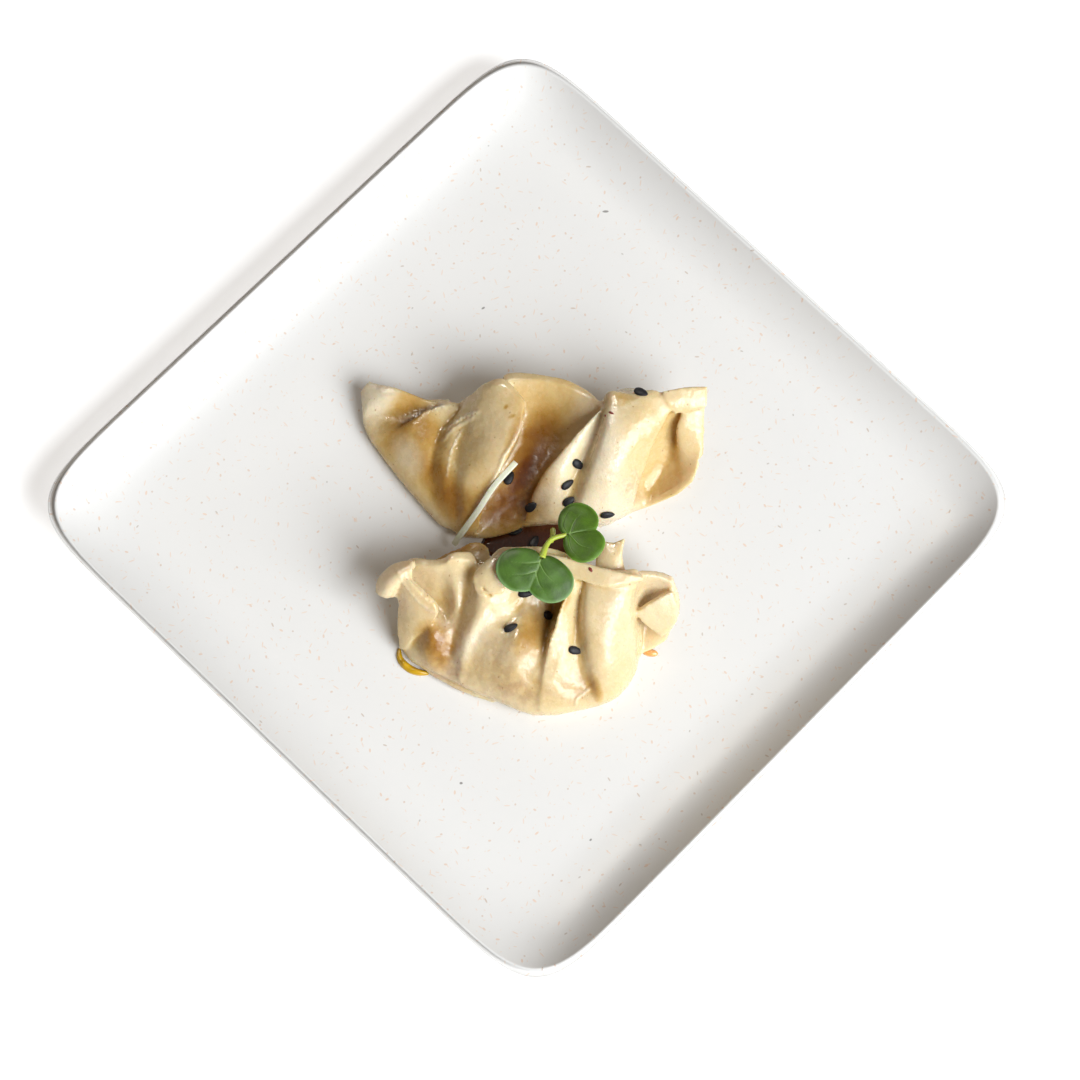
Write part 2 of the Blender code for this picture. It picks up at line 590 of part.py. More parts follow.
def plate():
    points = [np.array([(0, 0, FOOT_HEIGHT)])]
    profile = plate_profile()
    for inset, height in profile:
        share = min(1, inset / WALL_RUN)
        power = LIP_POWER + (FLOOR_POWER - LIP_POWER) * share
        flat = rounded_square(PLATE_SIDE / 2 - inset, CORNER_REACH * (1 - share / 4), power)
        points.append(np.column_stack((flat, np.full(len(flat), height))))
    points = np.concatenate(points + [[(0, 0, FLOOR)]])
    around = len(flat)
    faces = []
    for ring in range(len(profile) - 1):
        for k in range(around):
            a, b = 1 + ring * around + k, 1 + ring * around + (k + 1) % around
            faces.append((a, b, b + around, a + around))
    last = len(points) - 1
    for k in range(around):
        after = (k + 1) % around
        faces.append((0, 1 + after, 1 + k))
        faces.append((last, last - around + k, last - around + after))
    return new_piece("plate", mesh_from("plate", points, faces), "plate")


# Garnish


def leaf(name, spec, table):
    """A thin heart-shaped leaf that spreads from the end of its stalk."""
    angles, reaches = np.array(spec.outline).T
    widest = angles[-1]
    turns = np.linspace(-widest, widest, LEAF_ANGLES + 1)
    reach = smooth(spec.outline, 10)
    radii = spec.reach * np.interp(np.abs(turns), reach[:, 0], reach[:, 1])
    shares = np.linspace(0.08, 1, LEAF_RINGS + 1)
    turn, share = np.radians(turns)[:, None], shares[None, :]
    x = radii[:, None] * share * np.cos(turn)
    y = radii[:, None] * share * np.sin(turn)
    cup = 0.55 * np.abs(np.sin(turn)) * share - spec.droop * share**2 * (0.6 + 0.4 * np.sin(turn) ** 2)
    middle = np.stack((x, y, cup + 0 * x), axis=-1)
    out = LEAF_THICKNESS / 2 * normals_of(middle)
    mesh = mesh_from(name, *shell_between(middle + out, middle - out))
    triangles = bmesh.new()
    triangles.from_mesh(mesh)
    bmesh.ops.triangulate(triangles, faces=triangles.faces, quad_method="FIXED")
    triangles.to_mesh(mesh)
    triangles.free()
    piece = new_piece(name, mesh, "leaf", table)
    piece.location = [value * MM for value in spec.joint]
    piece.rotation_euler = (math.radians(spec.roll), math.radians(spec.pitch), math.radians(spec.heading))
    return piece


def sweep(route, outline, steps=6):
    """The closed skin of an outline, as (sideways, upwards) pairs, carried along a smooth route."""
    line = smooth(route, steps)
    ahead = np.gradient(line, axis=0)
    ahead /= np.linalg.norm(ahead, axis=1)[:, None]
    side = np.cross(ahead, (0, 0, 1))
    side /= np.linalg.norm(side, axis=1)[:, None]
    up = np.cross(side, ahead)
    rings = [line + side * across + up * above for across, above in outline]
    columns = len(line)
    points = np.concatenate(rings)
    sides = len(outline)
    faces = grid_faces(sides, columns, closed=True)
    faces.append(tuple(k * columns for k in range(sides)))
    faces.append(tuple(k * columns + columns - 1 for k in range(sides)))
    return points, faces


def round_outline(radius, sides):
    turns = [2 * math.pi * k / sides for k in range(sides)]
    return [(radius * math.cos(turn), radius * math.sin(turn)) for turn in turns]


def stalk(table):
    outline = round_outline(STALK_RADIUS, STALK_SIDES)
    piece = new_piece("stalk", mesh_from("stalk", *sweep(STALK_ROUTE, outline)), "stalk", table)
    stub = new_piece("stub", mesh_from("stub", *sweep(STUB_ROUTE, outline)), "stalk", table)
    return fuse(piece, [stub])


def shred(table):
    width, depth = SHRED_WIDTH / 2, SHRED_DEPTH / 2
    outline = [(-width, -depth), (width, -depth), (width, depth), (-width, depth)]
    return new_piece("shred", mesh_from("shred", *sweep(SHRED_ROUTE, outline)), "shred", table)


def dome(name, line, widths, height, finish, table, sides=8):
    """A low bead of sauce along a line on the plate, rounded on top and flat below."""
    ahead = np.gradient(line, axis=0)
    ahead /= np.linalg.norm(ahead, axis=1)[:, None]
    across = np.stack((-ahead[:, 1], ahead[:, 0]), axis=1)
    rows = []
    for k in range(sides + 1):
        turn = math.pi * k / sides
        flat = line + across * (widths * math.cos(turn))[:, None]
        rise = height * math.sin(turn) * widths / widths.max()
        rows.append(np.column_stack((flat, rise)))
    grid = np.array(rows)
    faces = grid_faces(sides + 1, len(line), closed=True)
    points = grid.reshape(-1, 3)
    mesh = mesh_from(name, points, faces + [tuple(k * len(line) + end for k in range(sides + 1))
                                            for end in (0, len(line) - 1)])  # fmt: skip
    piece = new_piece(name, mesh, finish, table)
    piece.location = (0, 0, (FLOOR + GAP) * MM)
    return piece


def dab(table):
    route = even(smooth(DAB_ROUTE, 6), 16)
    widths = DAB_WIDTH / 2 * np.sin(np.linspace(0.25, math.pi - 0.25, len(route))) ** 0.6
    return dome("mustard", route, widths, DAB_HEIGHT, "mustard", table)


def drop(table):
    length, width, height = DROP_SIZE
    along = np.linspace(-0.97, 0.97, 11)
    route = np.column_stack((DROP_CENTRE[0] + along * length / 2, DROP_CENTRE[1] - 0.3 * along))
    return dome("drop", route, width / 2 * np.sqrt(1 - along**2), height, "sauce", table)


def main():
    clear_scene()
    plate()
    table = bpy.data.objects.new("serving", None)
    bpy.context.scene.collection.objects.link(table)
    table.rotation_euler.z = SERVING_TURN
    table.location = Matrix.Rotation(SERVING_TURN, 3, "Z") @ Vector(SERVING_PLACE) * MM
    gyoza("gyoza_far", UPPER_FOLDS, UPPER_FLAPS, UPPER_SEEDS, UPPER_CENTRE, table)
    gyoza("gyoza_near", LOWER_FOLDS, LOWER_FLAPS, LOWER_SEEDS, LOWER_CENTRE, table)
    for name, spec in LEAVES.items():
        leaf(name, spec, table)
    stalk(table)
    shred(table)
    dab(table)
    drop(table)


main()
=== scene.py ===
"""Two pleated gyoza with their sprout, sesame, shred and sauces on a square plate, finished for a picture.

Food is laid out in millimetres, as seen by someone who looks at one corner of the plate: x goes to the
right and y away. The plate's sides lie along X and Y of the frame, so on_frame turns that layout and makes
it metres.
"""

import math
from collections import namedtuple

import bmesh
import bpy
import numpy as np
from bpy.props import FloatProperty, FloatVectorProperty, PointerProperty
from mathutils import Matrix, Vector, noise
from mathutils.bvhtree import BVHTree


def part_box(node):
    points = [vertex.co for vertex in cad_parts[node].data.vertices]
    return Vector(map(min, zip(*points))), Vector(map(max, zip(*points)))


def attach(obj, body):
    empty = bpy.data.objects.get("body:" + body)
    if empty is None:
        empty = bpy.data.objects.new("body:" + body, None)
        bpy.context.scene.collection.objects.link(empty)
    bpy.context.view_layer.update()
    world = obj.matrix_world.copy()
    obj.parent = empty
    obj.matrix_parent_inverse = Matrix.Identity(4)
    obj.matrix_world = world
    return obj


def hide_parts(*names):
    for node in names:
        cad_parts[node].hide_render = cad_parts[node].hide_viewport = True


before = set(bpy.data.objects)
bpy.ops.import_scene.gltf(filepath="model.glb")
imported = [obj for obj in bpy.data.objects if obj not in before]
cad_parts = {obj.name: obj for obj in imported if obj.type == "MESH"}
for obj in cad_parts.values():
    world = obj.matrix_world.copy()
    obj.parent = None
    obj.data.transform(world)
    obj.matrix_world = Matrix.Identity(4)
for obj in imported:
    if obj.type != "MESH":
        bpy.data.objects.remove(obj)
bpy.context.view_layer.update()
PLATE_LOW, PLATE_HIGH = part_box("plate")

bl_info = {
    "name": "Gyoza on a plate",
    "version": (1, 0, 0),
    "blender": (4, 5, 0),
    "location": "View3D > Sidebar > Gyoza",
    "description": "Builds two pleated gyoza on a square plate, with sesame, sprout, shred and sauces",
    "category": "Object",
}

MM = 0.001
SERVING_TURN = math.radians(45)
SERVING_PLACE = (-0.16, -1.37, 0.0)  # where the layout's middle lies on the plate

# Plate: a square with rounded corners and a wall that curves up all round
PLATE_SIDE = (PLATE_HIGH.x - PLATE_LOW.x) / MM
PLATE_HEIGHT = PLATE_HIGH.z / MM
PLATE_WALL, LIP = 1.8, 1.2  # thickness
CORNER_REACH = 47.0  # how far from the corner its rounding starts
LIP_POWER, FLOOR_POWER = 6.6, 3.4  # of the superellipse that rounds a corner, at the lip and at the floor
WALL_RUN = 25.0
WALL_CURVE = 3.5
FOOT_INSET = 36.0
FOOT_WIDTH = 4.0
FOOT_HEIGHT = 1.8
FLOOR = FOOT_HEIGHT + PLATE_WALL
FOOD_BASE = FLOOR + 0.3
CORNER_STEPS = 40
WALL_STEPS = 36
LIP_STEPS = 10

# Dough
DOUGH = 1.9  # two layers pressed together
NECK_AT, BELLY_AT, SOLE_AT = 0.29, 0.66, 0.985  # along a fold, from its seam to its foot
BRIM = 0.42  # height of a filled fold right above its foot, as a share of its belly
LAP_REACH = 0.86  # how far down a fold its crest can hang over
HEEL = 2.2  # how far the filled back stands out behind the seam
# The back, from under the seam down: lean towards the foot, share of the heel, step forwards and share of
# the height
BACK = ((0.08, 1, 0, 0.62), (0.15, 0.6, 0, 0.22), (0.2, 0.3, 1, 0))
CORE_AT = 0.6  # where the underside is halfway to the sole
FOLD_STEPS = 80
BETWEEN_FOLDS = 12
FLAP_STEPS = 10

# One fold of a wrapper. Places are from the dumpling's centre, and heights from the plate's floor.
# seam, foot: its upper end, and where it meets the plate
# neck, belly: the height of the dough at NECK_AT and BELLY_AT
# bow: how far it bows to the right there
# lap: how far its crest hangs over its neighbour to the right or, below zero, to the left
# tuck: how deep the dough goes in under that crest
# gape: 1 where the crest stands free at the seam too, 0 where it is pinched shut
# fill: 1 over the filling, 0 where the wrapper is only a wing, whose edge is lift above the plate
# heel: how much further the back stands out
# reach: how far down the fold its crest hangs over, as a share
FOLD_PARTS = "seam foot neck belly bow lap tuck gape fill lift heel reach"
Fold = namedtuple("Fold", FOLD_PARTS, defaults=((0, 0), 0, 0, 0, 1, 0, 0, 1))

UPPER_CENTRE = (0.0, 13.0)
LOWER_CENTRE = (0.0, -23.0)
UPPER_FOLDS = {
    "wing_tip": Fold((-38, 19.5, 6), (-40, 17.5), 6, 5.5, fill=0, lift=2.5),
    "wing": Fold((-31, 17, 8), (-39.5, 13), 8, 6.5, fill=0, lift=2),
    "wing_crease": Fold((-24.5, 14, 8), (-39.3, 10), 7, 5.5, bow=(0.5, 1.5), fill=0.2, lift=1.5),
    "torn_edge": Fold(
        (-19, 12.5, 9.5), (-37.5, 5.5), 8.8, 7.5,
        bow=(-0.5, 1.5), lap=-0.6, tuck=1, fill=0.5, lift=1, reach=0.7,
    ),
    "first_lobe": Fold((-17.5, 11.5, 10), (-32.5, -1.5), 9, 8.4, bow=(1, 1), fill=0.9),
    "first_lobe_end": Fold((-16.8, 11, 9.8), (-27.5, -8), 8.6, 7.8, bow=(-1, -0.5)),
    "first_valley": Fold((-16.2, 11, 10), (-21.5, -15), 8.6, 6.8, bow=(-4, -3.4)),
    "shoulder": Fold((-15.3, 11.5, 11.5), (-18.2, -16.8), 10.8, 8.8, bow=(-2.2, -2.9)),
    "flap_foot": Fold((-13.5, 12, 13.5), (-17, -17.7), 11.2, 9.4, bow=(-1.6, -1.8)),
    "flap_rise": Fold((-10.5, 13.5, 17), (-16, -18.4), 14.5, 11.6, bow=(0, -1)),
    "flap_top": Fold((-6, 14, 19), (-14.5, -18.6), 17.5, 13, bow=(1.9, 0)),
    "flap": Fold((-0.8, 8.5, 18.5), (-12.2, -18.8), 17, 12.5, bow=(1, -0.7), lap=5.5, tuck=6.5, gape=1),
    "gully_left": Fold((-6, 16, 15), (-9.5, -18.6), 9, 7, bow=(2.9, 2.2)),
    "gully": Fold((6.5, 15.5, 15.5), (-6, -18), 9, 7, bow=(1.1, 1.1)),
    "gully_right": Fold((14, 12, 16), (-3, -17), 10, 7.5, bow=(-1.3, -1.5)),
    "ridge": Fold((17, 8.5, 18), (-1, -16), 17, 12, bow=(-1.5, -2.8), lap=-2.5, tuck=6),
    "ridge_crown": Fold((17.4, 8.5, 18.4), (4, -15.5), 17.3, 13.8, bow=(-1, -1.8)),
    "crease": Fold((17.8, 9.5, 17.2), (8.5, -15.6), 15.2, 11.6, bow=(0.5, -0.4)),
    "lobe_start": Fold((18.8, 10.5, 19.8), (11.6, -16), 19.6, 15.8, bow=(0.9, 0.6)),
    "lobe": Fold((24, 9.5, 20.6), (18, -15.9), 20.4, 16.3, heel=3.5),
    "lobe_end": Fold((29.5, 10.5, 20.5), (22.5, -13.8), 19.2, 13.6, bow=(0.3, 0), heel=1),
    "lobe_edge": Fold(
        (34.5, 9.5, 19), (24.7, -12.5), 16.5, 10.5, bow=(-0.6, -0.6), lap=1.5, tuck=4, fill=0.6, lift=0.5
    ),
    "hollow": Fold((36.5, 9, 17), (28.5, -11.5), 9, 3.5, bow=(0, 0.3), fill=0.2, lift=1),
    "hollow_end": Fold((36.6, 8, 16), (33.5, -10), 9.5, 5.2, bow=(-0.2, 0.3), fill=0, lift=2.8),
    "inner_fold": Fold((37.3, 9.5, 18), (36.8, -8.4), 15.3, 8.8, bow=(-2, 0.4), fill=0, lift=4.4),
    "wing_slope": Fold((40, 10, 18), (39.4, -6.3), 16, 11.2, bow=(-0.6, 0.3), fill=0, lift=6.2),
    "wing_rim": Fold((42, 10, 17.5), (40.9, -2.6), 15.5, 12.6, bow=(0.2, 0.4), fill=0, lift=8.4),
}

LOWER_FOLDS = {
    "left_end": Fold((-30, 7, 13), (-30, -10.5), 10, 6, bow=(-0.6, -0.8), fill=0.5),
    "left_wall": Fold((-28, 7, 15), (-28, -13), 8.5, 7, bow=(0.2, 0.7)),
    "first_lobe": Fold((-23.5, 6, 17), (-24, -15.3), 9.5, 11, bow=(0.8, 0.2)),
    "lobe_shade": Fold((-20.7, 6, 18), (-22, -16.3), 10.2, 10.4, bow=(0.9, 1.2)),
    "first_pleat": Fold((-18.5, 7, 19.3), (-20, -17.4), 13.4, 9.4, bow=(1.4, 1.4)),
    "first_valley": Fold((-14, 7, 18.5), (-18.4, -18.3), 13, 9.6, bow=(-0.4, -1)),
    "second_rise": Fold((-12, 4, 19.5), (-17, -18.9), 16.6, 11.6, bow=(1.7, 0)),
    "second_pleat": Fold((-7.5, 7.5, 20.5), (-14.8, -20), 16.6, 11.8, bow=(3.6, -0.2)),
    "belly_start": Fold((-4, 8, 20.5), (-11.3, -21.6), 14, 12.8, bow=(3.9, 0.7)),
    "belly": Fold((0, 8, 20.5), (-6, -24), 13.6, 14.3, bow=(1.1, 0.4)),
    "belly_end": Fold((4.5, 7.5, 20.5), (-2.2, -25.6), 12.3, 13, bow=(0.7, 0.9)),
    "third_gap": Fold((8, 6.5, 20), (0.4, -26.3), 10.4, 12.6, bow=(-0.6, -0.8)),
    "third_pleat": Fold(
        (10.5, 4.5, 20.5), (1.9, -26.4), 18.6, 14.1, bow=(-1.4, -1.7), lap=-1.4, tuck=3.2, reach=0.45
    ),
    "third_slope": Fold((11.5, 4, 20.5), (6.5, -26.3), 16.9, 13.6, bow=(-0.6, -1.2)),
    "third_valley": Fold((12.3, 3, 19), (14.4, -24.6), 15.8, 12.3, bow=(-1.9, -2.3)),
    "fourth_pleat": Fold((13.3, 2.5, 19.8), (16.2, -24.1), 18.9, 14.8, bow=(-1.8, -1.6)),
    "last_lobe": Fold((18.5, 2, 20.5), (20.6, -22), 19.2, 15.6, bow=(-1.7, -1.6)),
    "last_lobe_end": Fold((24, 2.5, 20.5), (24.6, -17), 18, 11.5, bow=(-1.8, -0.7)),
    "hollow": Fold((26.5, 3, 18.5), (26.5, -11.5), 7.5, 4.5, bow=(0.8, 0.3), fill=0.3),
    "wing_slope": Fold((29.5, 3, 17.5), (29, -10.5), 8.5, 5.5, bow=(1.6, 1), fill=0, lift=1),
    "wing_rim": Fold((33, 2, 16.5), (32.5, -8.5), 11, 8.5, bow=(1.6, 1.3), fill=0, lift=2),
}

# Loose flaps of a wrapper: rails along them, side by side, and the sheet runs smoothly through all of them
UPPER_FLAPS = {
    "corner_peak": (
        ((31.5, 12, 19.6), (36.5, 13, 19.6), (42.3, 13.6, 18.5)),
        ((32.5, 9.5, 19), (37.5, 10.8, 18.7), (42.2, 11.6, 18)),
        ((34.5, 7.5, 17), (39, 8.5, 17.2), (42, 9, 17)),
    ),
}
LOWER_FLAPS = {
    "curl": (
        ((-27, 7, 17), (-32, 6.5, 16), (-35.5, 3.5, 14), (-36, 1, 12)),
        ((-28, 5, 18), (-31, 3.5, 17.5), (-33.5, 1, 15.5), (-34.5, 0, 13)),
        ((-28.5, 4, 15), (-30.5, 3, 13.5), (-31.5, 1.5, 12), (-32, 0.5, 11)),
    ),
    "triangle": (
        ((-31.6, 5.2, 15), (-30.6, 0, 11), (-31, -4.5, 7), (-30.6, -9.8, 2)),
        ((-31.6, 5.5, 16.6), (-28.8, 0.8, 15.2), (-27.2, -4.5, 11.2), (-29, -10, 3.5)),
        ((-31.3, 5.6, 17.4), (-27, 1.6, 16.8), (-21.8, -3.9, 14), (-27, -8.8, 6.5)),
    ),
    "tab": (
        ((-12.5, 4.5, 19), (-9.5, 6.5, 20.5), (-6, 7.5, 21)),
        ((-13.5, 2.3, 18.5), (-10, 3.5, 20.5), (-5.5, 4.2, 20.5)),
        ((-12.5, -0.5, 16.5), (-10, -1, 18), (-6.5, -1, 18.5)),
    ),
    "band": (
        (
            (-4.5, 8, 21), (4, 7.5, 21.3), (11, 5.7, 21.3),
            (17, 4, 21.3), (22, 3, 20.8), (26, 2.8, 19.5),
        ),
        (
            (-3.5, 4.5, 19.8), (4, 3.7, 20), (11, 1.5, 20.3),
            (17.5, -0.2, 20.3), (22.5, 0.8, 19.8), (26, 2, 18.5),
        ),
    ),
    "right_fold": (
        ((33, 0.5, 15), (34.5, -3, 12), (34, -6, 9.5), (31, -8.5, 6.5)),
        ((29, -1.5, 14.5), (30, -4, 12), (30, -6, 10), (29.5, -7.5, 7.5)),
        ((24.5, -4, 12.5), (25, -4.5, 12), (26, -5.5, 10.5), (28, -7, 8.5)),
    ),
    "back_left": (
        ((-23.6, 9, 7.5), (-20.5, 10.6, 8.5), (-16.5, 11.8, 10.5), (-12.8, 13, 12), (-10, 11.3, 12)),
        ((-22, 5.5, 9), (-19, 6, 11), (-15, 6.5, 13), (-12, 7, 13.5), (-9.5, 7.5, 13.5)),
    ),
    "back_right": (
        ((15.6, 11, 17.2), (17.7, 11.5, 18), (19.4, 11.1, 18.3), (22.2, 12.1, 19.2)),
        ((15.4, 8, 17), (17.4, 8, 17.8), (19.4, 7.8, 18.2), (21.4, 8.4, 18.2)),
        ((15, 4, 16.5), (17.5, 4, 17), (19.8, 4, 17), (22, 4.2, 16)),
    ),
    "skirt": (
        ((-27.5, -13, 1), (-21.8, -17.3, 1), (-15, -20.6, 1), (-8.5, -23, 1)),
        ((-25, -10.5, 2.4), (-19.8, -13.5, 2.8), (-13.6, -17, 3), (-7.8, -19.8, 3)),
    ),
}

SUNK = 0.6  # how far the folds' heights are taken down before the dough is cut level
REST_GAP = 0.03  # between the plate and what lies on it
KNEADING = 8  # smoothing passes
UNEVENNESS = ((0.18, 0, 7), (0.1, 2, 2.6), (0.045, 1, 0.9))  # depth, how much more over filling, and size
VALLEY_PASSES, CREASE_PASSES = 90, 12  # of blurring, which find wide valleys and narrow creases for the painted shade in them
MILKY_SHEEN = 0.7  # how pale a milky patch of strength 1 is, partly as a painted sheen, where a torn edge is 1

# A fine line on the dough: its route seen from above, how wide it is, how far it stands proud or, below
# zero, is pressed in, how much paler it is, and how ragged.
Mark = namedtuple("Mark", "route width rise pale rag", defaults=(0.5, 0.25, 0.5, 0.3))
UPPER_MARKS = (
    Mark(
        ((-17.5, 25.3), (-21, 24.9), (-23.1, 24.5), (-24.8, 24), (-27.6, 23.3), (-30.3, 22.5)),
        0.7, 0.4, 0.8, 0.8,
    ),
    Mark(((-11.1, 22), (-13.9, 21.4), (-16.2, 21.1), (-18.6, 19.5), (-21.5, 18.8)), 0.45, 0.35, 0.9, 0.5),
    Mark(((-11.8, 21), (-14.8, 20.1), (-18.1, 18.5), (-21, 15.5)), 0.5, 0.3, 0.5, 0.3),
    Mark(((-15.3, 18.8), (-17, 16.2), (-18.4, 13.1), (-19.2, 9.5), (-19.4, 6.7)), 0.3, 0.2, 0.7, 0.3),
    Mark(((22.5, 5.9), (24.9, 7), (25.2, 4.5), (23.5, 2.2), (21.6, 2.7)), 0.4, 0.3, 0.3, 0.5),
    Mark(((24.2, 4.9), (23.2, 3.5), (24.6, 2.8)), 0.35, -0.3, 0.1, 0.4),
    Mark(
        (
            (-1.7, 21), (-2.2, 16.7), (-4.1, 13.1), (-6.3, 9.8),
            (-7, 7.7), (-9.6, 3.5), (-11.9, 0.4), (-14, -3.5),
        ),
        0.45, 0.35, 0.8, 0.3,
    ),
    Mark(((-2.2, 26.5), (-0.7, 23.4), (-0.9, 21.3)), 0.22, 0.15, 0.6, 0.2),
)
LOWER_MARKS = (
    Mark(((-11.9, -22.7), (-10.7, -24), (-9.1, -24.5)), 0.28, -0.6, 0, 0.2),
    Mark(((-32.2, -17.8), (-28.9, -22.5), (-25, -26.2), (-22.1, -27.7)), 0.3, 0.25, 0.5, 0.2),
    Mark(((-29.4, -18.6), (-26.1, -22.8), (-22.9, -26.1)), 0.35, -0.3, 0, 0.2),
    Mark(((26.2, -30.2), (26, -33.2)), 0.3, 0.2, 0.6, 0.1),
    Mark(((14, -44.3), (12.1, -45.7), (10.5, -47), (10.3, -48.4)), 0.35, 0.35, 0.6, 0.2),
)

# Patches of the dough that look different: where its filling shows, where it is thin and amber, where sauce
# has stained it, and where it is thick and milky. Some filling, amber and stain patches are painted shade,
# set where the dough lies in a fold or turns from the light; milky patches are partly a painted sheen. Each
# has its middle, how far it reaches from there along and across its turn, and its strength. Amber and
# stains are as deep a tint, which may be above 1.
Patch = namedtuple("Patch", "x y length width turn strength")
UPPER_PATCHES = {
    "filling": (
        Patch(-4, 1, 9, 6, 20, 0.75),
        Patch(-18.7, 1, 7, 6, -40, 0.5),
        Patch(22.5, 1, 9, 6.5, 60, 0.55),
        Patch(2, -2, 9, 4, 0, 0.4),
    ),
    # thin amber dough, and painted shade on the left side and along the lobe's top edge
    "amber": (
        Patch(-23, 13, 22, 17, -50, 0.3),
        Patch(-9, 14, 22, 24, -25, 0.1),
        Patch(6, 24, 16, 10, 10, 0.4),
        Patch(31, 11, 18, 15, 50, 0.2),
        Patch(19.5, 22.5, 8, 2.5, 10, 0.5),
    ),
    # sauce stains, and painted shade in the gully, on the wing and on faces turned from the light
    "stain": (
        Patch(-29.5, 22, 11, 6, 60, 0.8),
        Patch(-24.5, 18.5, 9, 5, -62, 0.7),
        Patch(-20, 5, 17, 4.5, -58, 1.15),
        Patch(1.3, 14, 12, 7, 62, 1.6),
        Patch(-1, 8.7, 10, 4, 60, 2.8),
        Patch(-4, 1.5, 13, 7, 25, 1.8),
        Patch(-10, -1, 10, 5, -20, 1.0),
        Patch(-30.1, 20.1, 1.2, 0.8, 20, 0.9),
        Patch(16.3, 22.1, 0.9, 0.7, 0, 0.9),
        Patch(-5.5, 21.7, 0.8, 0.6, 40, 0.8),
        Patch(-4.1, 19.4, 1.1, 0.6, 20, 0.8),
    ),
    # thick milky dough, and a painted sheen on crests and on the wing's tip
    "milky_and_sheen": (
        Patch(-36.5, 29, 9, 6, 60, 1.8),
        Patch(-28.7, 13.4, 7, 4, -60, 0.9),
        Patch(17, 12, 7, 22, 8, 1.4),
        Patch(5, 2.5, 6, 4, 30, 1.2),
        Patch(17, -1, 13, 7, 25, 1.5),
        Patch(8, 9, 4, 14, -30, 1.1),
    ),
}
LOWER_PATCHES = {
    # filling that shows through, and painted shade on the left lobe, which faces away from the light
    "filling": (
        Patch(-5.5, -38, 14, 12, -50, 0.5),
        Patch(-20.5, -34.5, 8, 6, 60, 0.9),
        Patch(-20, -33, 10, 7, 70, 1.0),
        Patch(-20, -39, 8, 6, -30, 1.0),
        Patch(11, -44, 7, 5, 20, 0.8),
        Patch(-3, -45, 10, 4, -12, 0.9),
        Patch(1, -27, 6, 5, 0, 0.7),
        Patch(-15, -24, 5, 4, 20, 0.5),
    ),
    # thin amber dough, and painted shade on over-lit pleats and the left end
    "amber": (
        Patch(26, -24, 9, 9, 0, 0.15),
        Patch(14, -35, 12, 16, 0, 0.2),
        Patch(-27, -25, 8, 12, 0, 0.12),
        Patch(-16, -28, 5, 8, -20, 0.1),
    ),
    # sauce stains, and painted shade in the valleys and on the back
    "stain": (
        Patch(6.5, -26, 4, 2.5, 60, 0.8),
        Patch(0, -32.5, 8, 5, 70, 0.8),
        Patch(-22.5, -34, 7, 4.5, -50, 1.1),
        Patch(-6, -42.5, 20, 4, -20, 0.2),
        Patch(-17, -11, 10, 3.5, 8, 1.0),
        Patch(14.8, -44.5, 4, 1.6, -60, 0.7),
    ),
    # thick milky dough, and a painted sheen on the lit pleats and ends
    "milky_and_sheen": (
        Patch(19, -30, 10, 18, -10, 0.5),
        Patch(29, -22, 8, 12, 0, 0.9),
        Patch(-32, -20, 10, 9, 0, 0.5),
        Patch(-14.5, -34, 9, 3, 49, 1.1),
    ),
}

# Sesame: place, turn, share of the thickness that is sunk, and lean
Seed = namedtuple("Seed", "x y turn sunk tip", defaults=(0.2, (0, 0)))
SEED_SIDES, SEED_RINGS = 16, 12
UPPER_SEEDS = (
    Seed(11.5, 9, -35), Seed(9, 4.7, 35), Seed(9.5, 1.3, 40), Seed(9.7, -0.6, 40), Seed(0.6, 0, 35),
    Seed(18.6, -1.9, -8), Seed(-4.6, 7.5, 60), Seed(26.5, 24.5, -30),
)  # fmt: skip
LOWER_SEEDS = (Seed(4, -27.4, -10), Seed(-4.8, -31.3, 15), Seed(10, -36.6, -15), Seed(-1.5, -23, 0))
SAUCE_SEEDS = (Seed(-3.1, -3.8, 10), Seed(1.4, -6.6, 60))
FLECKS = (  # place, turn, length and width
    (19.3, 19.5, -30, 1.6, 0.65),
    (18, 19.1, -50, 0.7, 0.45),
    (13.6, -19.5, -55, 1.5, 0.8),
)
FLECK_THICKNESS = 0.25
PLATE_MARKS = (  # place, length, width and turn of the darkest fibres
    (20.2, 78, 1.6, 0.6, 0.0),
    (-10.1, 53, 1.0, 0.5, 0.6),
    (-16.6, -65.3, 0.8, 0.6, 0.0),
    (13.6, -79.1, 0.7, 0.5, 0.8),
)

